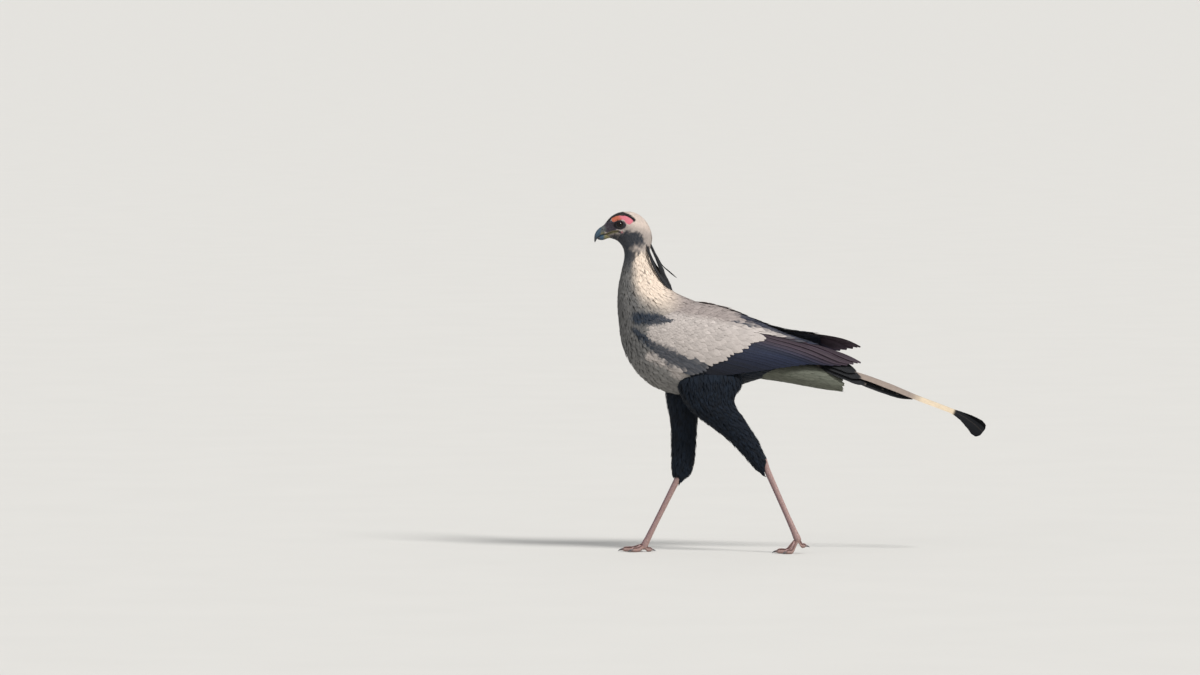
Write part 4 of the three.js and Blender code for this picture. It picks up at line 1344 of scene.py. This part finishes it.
class BIRD_OT_wings(bpy.types.Operator):
    """Folded wings: rows of coverts, shoulder feathers, flight feathers and the lining that carries them"""
    bl_idname = "bird.wings"
    bl_label = "Wings"

    def execute(self, context):
        for side, label, lift in ((LEFT, "left", 0), (RIGHT, "right", FAR_WING_LIFT)):
            surface = Wing(side, lift)
            self.lining(surface, label)
            self.flight(surface, label)
            self.coverts(surface, label)
            self.shoulder(surface, label)
        return {"FINISHED"}

    def lining(self, surface, label):
        """A thin shell under the feathers, its inner face set in and its edges drawn together."""
        u = np.linspace(0.1, 6.4, 70)
        v = np.linspace(0.03, 0.95, 26)
        uu, vv = np.meshgrid(u, v, indexing="ij")
        point, _, _, out = tangents(surface, uu, vv)
        thin = np.clip(np.minimum(vv - 0.03, 0.95 - vv) * 12, 0.1, 1)
        outer = point - out * (LINING_DEPTH * MM)
        inner = point - out * ((LINING_DEPTH + 0.1 + 2.2 * thin) * MM)[..., None]
        flat, faces = tube(np.concatenate([outer, inner[:, ::-1]], 1))
        x, _, z = side_view(flat)
        (x0, z0), (x1, z1) = COVERT_EDGE
        beyond = (x - x0) * (z1 - z0) - (z - z0) * (x1 - x0)
        tint = blend(wing_colour(flat), (colours().flight, smooth(beyond, -4000, 0)))
        # Darker than the coverts and flight feathers over it: painted shade under them.
        piece = outward(write_mesh(f"wing_lining_{label}", flat, faces, tint * 0.7))
        finish(piece, "skin", "grey_plumage")

    def feathers(self, name, surface, x, z, half, outline, sink, tint_of, label, slot, nodes, seed, roll,
                 cross=BROAD, tones=0.08, camber=0.05, ragged=0.1, fringe=0.0):
        """Feathers along given lines in side view, laid on the wing at their own depths."""
        chance = np.random.default_rng(seed)
        count, rings = x.shape
        u, v = locate(x, z)
        centre, out = lay(surface, u, v, sink)
        tint = shaded(tint_of(centre), chance, tones)
        home = homes(u[:, 0] / len(WING), v[:, 0])
        notch = 1 - ragged * chance.random((count, rings))
        lean = surface.side * -roll + chance.normal(0, 0.03, (count, 1))
        piece = vanes(
            name, centre, out, half, outline, cross, 0.7 * MM, tint, home, camber, lean, notch, fringe)
        return finish(piece, label, slot, *nodes)

    def coverts(self, surface, label):
        """Coverts from the rows of tips, each back along its lie to a root under the rows before it. Those
        that would leave the wing are shortened or left out."""
        rows = covert_rows()
        chance = np.random.default_rng(41)
        x, z, reach, half = rows.T
        x = x + chance.normal(0, 0.26, len(x)) * half
        z = z + chance.normal(0, 0.26, len(z)) * half
        reach = reach * chance.uniform(0.9, 1.15, len(x))
        half = half * chance.uniform(0.85, 1.12, len(x))
        u, v = locate(x, z)
        px, _, pz = side_view(Wing(LEFT, 0)(u, v))
        kept = (np.hypot(px - x, pz - z) < 3) & (v > 0.0) & (v < 1.02) & (u > -0.2)
        x, z, reach, half = x[kept], z[kept], reach[kept], half[kept]
        s = np.linspace(0, 1, 9)
        lie = np.radians(COVERT_LIE + 16 * smooth(x, 60, 260) + chance.normal(0, 5, len(x)))
        for _ in range(4):
            root_x, root_z = x - reach * np.cos(lie + 0.22), z - reach * np.sin(lie + 0.22)
            px, _, pz = side_view(Wing(LEFT, 0)(*locate(root_x, root_z)))
            off = np.hypot(px - root_x, pz - root_z) > 6
            reach = np.where(off, 0.6 * reach, reach)
        x, z, reach, half, lie = (k[~off] for k in (x, z, reach, half, lie))
        bow = 0.22 * (1 - s) ** 2
        back = (1 - s)[None] * reach[:, None]
        xs = x[:, None] - back * np.cos(lie[:, None] + bow)
        zs = z[:, None] - back * np.sin(lie[:, None] + bow)
        sink = (5.8 * (1 - s)[None] ** 1.8 - chance.uniform(0, 0.8, len(x))[:, None] * s**2) * MM
        self.feathers(f"wing_coverts_{label}", surface, xs, zs, half * MM, COVERT, sink,
                      lambda p: blend(wing_colour(p), (colours().flight, rump(p, surface.lift))), "covert",
                      "grey_plumage", [f"wing_{label}_coverts"], 42, 0.04)

    def shoulder(self, surface, label):
        """Shoulder feathers: long rounded vanes from the shoulder back along the wing's top edge."""
        chance = np.random.default_rng(43)
        uu, vv = np.meshgrid(np.arange(0.9, 6.1, 0.2), np.arange(0.0, 0.31, 0.06), indexing="ij")
        limit = 0.1 + 0.2 * np.sin(np.pi * np.clip((uu - 0.6) / 5.8, 0, 1))
        kept = vv < limit
        u = (uu + chance.normal(0, 0.05, uu.shape))[kept]
        v = (vv + chance.normal(0, 0.012, uu.shape))[kept]
        reach = sizes().scapular * (0.7 + 0.4 * smooth(u, 1, 3.4)) * chance.uniform(0.85, 1.1, len(u))
        us, vs = march(surface, u - 0.35, v, reach, 9, -0.18 + chance.normal(0, 0.07, len(u)))
        s = np.linspace(0, 1, 9)
        sink = (3.4 * (1 - s)[None] - 1.4 * s[None] * smooth(v, 0, 0.1)[:, None]) * MM
        centre, out = lay(surface, us, vs, sink)
        dark = rump(centre, surface.lift, chance.uniform(-12, 12, (len(u), 1)))
        tint = blend(wing_colour(centre), (colours().flight, np.repeat(dark[:, -3:].mean(1)[:, None], 9, 1)))
        tint = shaded(tint, chance, 0.08)
        notch = 1 - 0.1 * chance.random((len(u), 9))
        piece = vanes(f"shoulder_feathers_{label}", centre, out, np.full(len(u), 11.5 * MM), COVERT, BROAD,
                      0.7 * MM, tint, homes(u / len(WING), v), 0.06, surface.side * -0.05, notch)
        finish(piece, "covert", "grey_plumage")

    def flight(self, surface, label):
        """Flight feathers: each runs from under the coverts to its place on the wing's low and hind edge."""
        c = colours()
        (x0, z0), (x1, z1) = COVERT_EDGE
        low_x, low_z = np.array(WING, float)[:, [3, 5]].T
        chance = np.random.default_rng(50)
        for part, count, sunk, seed in FLIGHT_LAYERS:
            t = np.linspace(0.02, 1, count)
            tip_x = 66 + 466 * t - (14 if part == "outer" else 0) + chance.normal(0, 3, count)
            tip_z = np.interp(tip_x, low_x, low_z) + 3 + 26 * t**6
            from_x, from_z = x0 + (x1 - x0) * t, z0 + (z1 - z0) * t
            dx, dz = tip_x - from_x, tip_z - from_z
            start = -(70 + 30 * t) / np.hypot(dx, dz)
            s = start[:, None] + (1 - start[:, None]) * np.linspace(0, 1, 26)
            arch = 9 * np.sin(np.pi * np.clip(s, 0, 1)) * t[:, None]
            xs = from_x[:, None] + dx[:, None] * s
            zs = from_z[:, None] + dz[:, None] * s + arch
            way = np.linspace(0, 1, 26)[None]
            sink = (sunk + 2.6 * (1 - way) - 1.1 * t[:, None]) * MM + 0 * s
            half = (14.5 + 2 * t) * MM
            tones = blend(c.flight, (c.tertial, smooth(t, 0.72, 0.95)))
            # Painted shade: the lowest flight feathers darker, under the coverts' edge and by the thigh.
            tones = tones * (0.3 + 0.7 * smooth(t, 0.05, 0.6))[:, None]
            nodes = [f"wing_{label}_flight"] if part == "inner" else []
            # The flight feathers' fringe of 0.7 is a painted highlight along their edges.
            self.feathers(f"flight_feathers_{part}_{label}", surface, xs, zs, half, QUILL, sink,
                          plain(tones[:, None]), "flight", "black_plumage", nodes, seed, 0.12, FULL,
                          tones=0.1, camber=0.07, ragged=0.05, fringe=0.7)


class BIRD_OT_undertail(bpy.types.Operator):
    """Soft feathers under the tail, off-white in its shade, over down"""
    bl_idname = "bird.undertail"
    bl_label = "Undertail"

    def execute(self, context):
        chance = np.random.default_rng(61)
        surface = Outline(UNDERTAIL)
        vent = colours().vent
        u, v = rows_of_roots(surface, *TRACTS["vent"], chance)
        reach = sizes().vent * (1 - 0.45 * smooth(u, 1.7, 2.7))
        piece = contour("undertail_feathers", surface, u, v, chance, reach, 8 * MM, 7 * MM, plain(vent),
                        "soft", "white_plumage", SLIM, 10, stand=0.6, spread=0.09, tones=0.03, root=0.94,
                        thick=0.3)
        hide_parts("undertail_coverts")
        flat, faces = tube(over(surface, np.linspace(0, 2.7, 40), 40, 7.5))
        # The down is darker than the feathers over it: painted shade under them.
        piece = write_mesh("undertail_down", flat, faces, np.array(vent) * 0.8)
        finish(piece, "skin", "white_plumage")
        return {"FINISHED"}


class BIRD_OT_tail(bpy.types.Operator):
    """Tail: a narrow fan of dark feathers and two long trailing ones with black spoon ends"""
    bl_idname = "bird.tail"
    bl_label = "Tail"

    def execute(self, context):
        self.fan()
        for side, label in SIDES:
            self.plume(side, label)
        return {"FINISHED"}

    def fan(self):
        """Six pairs of feathers, each pair longer and nearer the middle, spread a little and stacked."""
        c = colours()
        chance = np.random.default_rng(65)
        side = np.tile([LEFT, RIGHT], 6)
        end_x, rise, wide = np.repeat(TAIL_PAIRS, 2, axis=0).T[:, :, None]
        s = np.linspace(0, 1, 30)
        start, stop = TAIL_LINE[0][0], TAIL_LINE[-1][0]
        middle = spline(TAIL_LINE, (end_x - start) / (stop - start) * s * 3)
        x = middle[..., 0]
        opened = smooth(x, start, 460)
        centre = in_frame(x, side[:, None] * (3 + wide * opened), middle[..., 1] + rise * opened)
        out = np.stack(np.broadcast_arrays(0.3, side[:, None] * 0.85, 0.5 + 0 * x), -1)
        grey, black = np.array(c.plume_grey), np.array(c.plume_black)
        t = s[None, :, None]
        tint = grey * 0.6 + (black - grey * 0.6) * smooth(t, 0.2, 0.3)
        tint = np.broadcast_to(tint + (grey - black) * 0.4 * smooth(t, 0.965, 0.985), centre.shape)
        home = np.stack([0.1 + 0.065 * np.arange(12), np.full(12, 0.5)], 1)
        notch = 1 - 0.05 * chance.random(x.shape)
        piece = vanes("tail_feathers", centre, unit(out), np.full(12, 17 * MM), QUILL, FULL, 0.8 * MM, tint,
                      home, 0.12, 0.0, notch)
        finish(piece, "flight", "black_plumage", "tail_fan")

    def plume(self, side, label):
        """One long feather: grey-brown, then cream, then a broad black end, rolled to face outwards."""
        c = colours()
        chance = np.random.default_rng(66 + side)
        rings = 150
        u = np.linspace(0, len(PLUME) - 1, rings)
        line = spline(PLUME, u)
        centre = in_frame(line[:, 0], side * line[:, 1], line[:, 2])[None]
        roll = 0.6 + 0.65 * (u / u[-1]) ** 2
        outside = np.stack([0 * u + 0.25, side * np.sin(roll), np.cos(roll)], 1)[None]
        half = np.interp(line[:, 0], *np.transpose(PLUME_HALF))
        notch = half[None] / PLUME_WIDEST * (1 - 0.05 * chance.random((1, rings)))
        grey, black, cream = (np.array(k) for k in (c.plume_grey, c.plume_black, c.plume_cream))
        x = line[:, 0][:, None]
        tint = grey + (cream - grey) * smooth(x, 690, 745)
        tint = (tint + (black - tint) * smooth(x, 834, 843))[None]
        home = np.array([[0.3 + 0.2 * side, 0.5]])
        widest = np.array([PLUME_WIDEST * MM])
        piece = vanes(f"tail_plume_vane_{label}", centre, unit(outside), widest, [1, 1], FULL, 1.0 * MM, tint,
                      home, 0.16, 0.0, notch)
        finish(piece, "plume", "plume_cream", f"tail_plume_{label}")


class BIRD_OT_crest(bpy.types.Operator):
    """Crest: long black plumes that hang from the nape down behind the neck, wider towards their ends"""
    bl_idname = "bird.crest"
    bl_label = "Crest"

    def execute(self, context):
        chance = np.random.default_rng(81)
        lines = np.array([CREST_NEAR] * 5 + [CREST_BEHIND] * 4 + [CREST_STRAY] + [CREST_FAR] * 5, float)
        stray = 9
        count, rings = len(lines), 24
        drift = chance.normal(0, 1, (count, 1, 3)) * [2.6, 2.4, 0] * np.linspace(0.6, 1.5, 5)[None, :, None]
        drift[..., 0] += np.abs(drift[..., 0]) * 0.4
        lines = lines + drift
        short, long = chance.uniform(0.45, 0.75, count), chance.uniform(0.86, 1, count)
        share = np.where(np.arange(count) % 3 == 2, short, long)
        share[[0, 5, stray, 11]] = 1
        s = np.linspace(0, 1, rings)
        line = np.stack([spline(k, s * 4 * part) for k, part in zip(lines, share)])
        centre = in_frame(line[..., 0], line[..., 1], line[..., 2])
        way = np.where(lines[:, 2, 1] < 0, -1, 1)[:, None]
        out = np.stack(np.broadcast_arrays(0.35, 0.9 * way, 0.25 + 0 * line[..., 0]), -1)
        tint = shaded(plain(colours().plume_black)(centre), chance, 0.2)
        home = np.stack([(np.arange(count) + 0.5) / count, np.full(count, 0.5)], 1)
        notch = 1 - 0.12 * chance.random((count, rings))
        half = chance.uniform(5.2, 7.5, count) * np.where(np.arange(count) == stray, 0.45, 1)
        piece = vanes("crest_plumes", centre, unit(out), half * MM, SPATULA, BROAD, 0.7 * MM, tint, home, 0.2,
                      0.0, notch)
        finish(piece, "crest", "thigh_plumage", "crest_plume_1", "crest_plume_2", "crest_plume_3")
        return {"FINISHED"}


# Stage


# The view: width in metres, the middle's x and z in millimetres, distance in metres, degrees down.
VIEW_WIDTH = 3.96
VIEW_MIDDLE = (-330, 711)
VIEW_DISTANCE = 30.0
VIEW_DOWN = 2.5
SENSOR = 36.0
FLOOR_RADIUS, FLOOR_DROP, FLOOR_COLOUR = 600, 0.0004, "#CCC9C3"
SKY_COLOUR, SKY_STRENGTH = "#E9ECF0", 0.62
# Lights: name, strength, the way to it, its width in degrees.
LIGHTS = [("key", 3.3, (0.62, -0.72, 0.95), 16), ("fill", 0.5, (-0.8, -0.9, 0.5), 50)]


class BIRD_OT_stage(bpy.types.Operator):
    """Pale floor, soft light from the upper right, and the camera"""
    bl_idname = "bird.stage"
    bl_label = "Stage"

    def execute(self, context):
        self.floor()
        self.lights()
        self.camera(context)
        return {"FINISHED"}

    def floor(self):
        """A disc far wider than the view: a ring of points and a fan of faces."""
        count = 96
        number = np.arange(count)
        turn = 2 * np.pi * number / count
        rim = np.stack([np.cos(turn) * FLOOR_RADIUS, np.sin(turn) * FLOOR_RADIUS, 0 * turn], 1)
        points = np.concatenate([rim, [[0, 0, 0]]]) - [0, 0, FLOOR_DROP]
        faces = np.stack([number, (number + 1) % count, np.full(count, count)], 1)
        made = write_mesh("studio_floor", points, [faces], linear(FLOOR_COLOUR))
        made.data.materials.append(look("floor"))

    def lights(self):
        """An even sky, and suns turned to shine from where the table says."""
        world = bpy.data.worlds.new("studio")
        world.use_nodes = True
        sky = world.node_tree.nodes["Background"]
        sky.inputs["Color"].default_value = (*linear(SKY_COLOUR), 1)
        sky.inputs["Strength"].default_value = SKY_STRENGTH
        bpy.context.scene.world = world
        for label, energy, towards, spread in LIGHTS:
            lamp = bpy.data.lights.new(label, "SUN")
            lamp.energy = energy
            lamp.angle = math.radians(spread)
            made = bpy.data.objects.new(label, lamp)
            made.rotation_euler = Vector(towards).to_track_quat("Z", "Y").to_euler()
            bpy.context.scene.collection.objects.link(made)

    def camera(self, context):
        """A long lens that looks a little down, square on to the bird's left side."""
        made = bpy.data.objects.new("camera", bpy.data.cameras.new("camera"))
        made.data.lens = SENSOR * VIEW_DISTANCE / VIEW_WIDTH
        made.data.sensor_width = SENSOR
        made.data.clip_end = 2000
        down = math.radians(VIEW_DOWN)
        aim = Vector(in_frame(VIEW_MIDDLE[0], 0, VIEW_MIDDLE[1]))
        made.location = aim + Vector((0, -math.cos(down), math.sin(down))) * VIEW_DISTANCE
        made.rotation_euler = (math.pi / 2 - down, 0, 0)
        context.scene.collection.objects.link(made)
        context.scene.camera = made
        context.scene.view_settings.view_transform = "Standard"


OPERATORS = (
    BIRD_OT_skin, BIRD_OT_eyes, BIRD_OT_bill, BIRD_OT_claws, BIRD_OT_scales, BIRD_OT_head_feathers,
    BIRD_OT_neck_feathers, BIRD_OT_body_feathers, BIRD_OT_thigh_feathers, BIRD_OT_wings, BIRD_OT_undertail,
    BIRD_OT_tail, BIRD_OT_crest, BIRD_OT_stage,
)


class BIRD_PT_panel(bpy.types.Panel):
    """Buttons for the bird's pieces"""
    bl_label = "Secretary Bird"
    bl_space_type = "VIEW_3D"
    bl_region_type = "UI"
    bl_category = "Secretary Bird"

    def draw(self, context):
        for made in OPERATORS:
            self.layout.operator(made.bl_idname)
        for group in (context.scene.bird_sizes, context.scene.bird_colours):
            for label in group.bl_rna.properties.keys():
                if label not in ("rna_type", "name"):
                    self.layout.prop(group, label)


CLASSES = (BirdColours, BirdSizes, *OPERATORS, BIRD_PT_panel)


def register():
    """Registers the classes and gives the scene its groups of properties."""
    for made in CLASSES:
        bpy.utils.register_class(made)
    bpy.types.Scene.bird_colours = bpy.props.PointerProperty(type=BirdColours)
    bpy.types.Scene.bird_sizes = bpy.props.PointerProperty(type=BirdSizes)


def unregister():
    """Takes back what register did."""
    del bpy.types.Scene.bird_sizes
    del bpy.types.Scene.bird_colours
    for made in reversed(CLASSES):
        bpy.utils.unregister_class(made)


def main():
    """Registers the add-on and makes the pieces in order."""
    register()
    for made in OPERATORS:
        group, label = made.bl_idname.split(".")
        getattr(getattr(bpy.ops, group), label)()


if __name__ == "__main__":
    main()
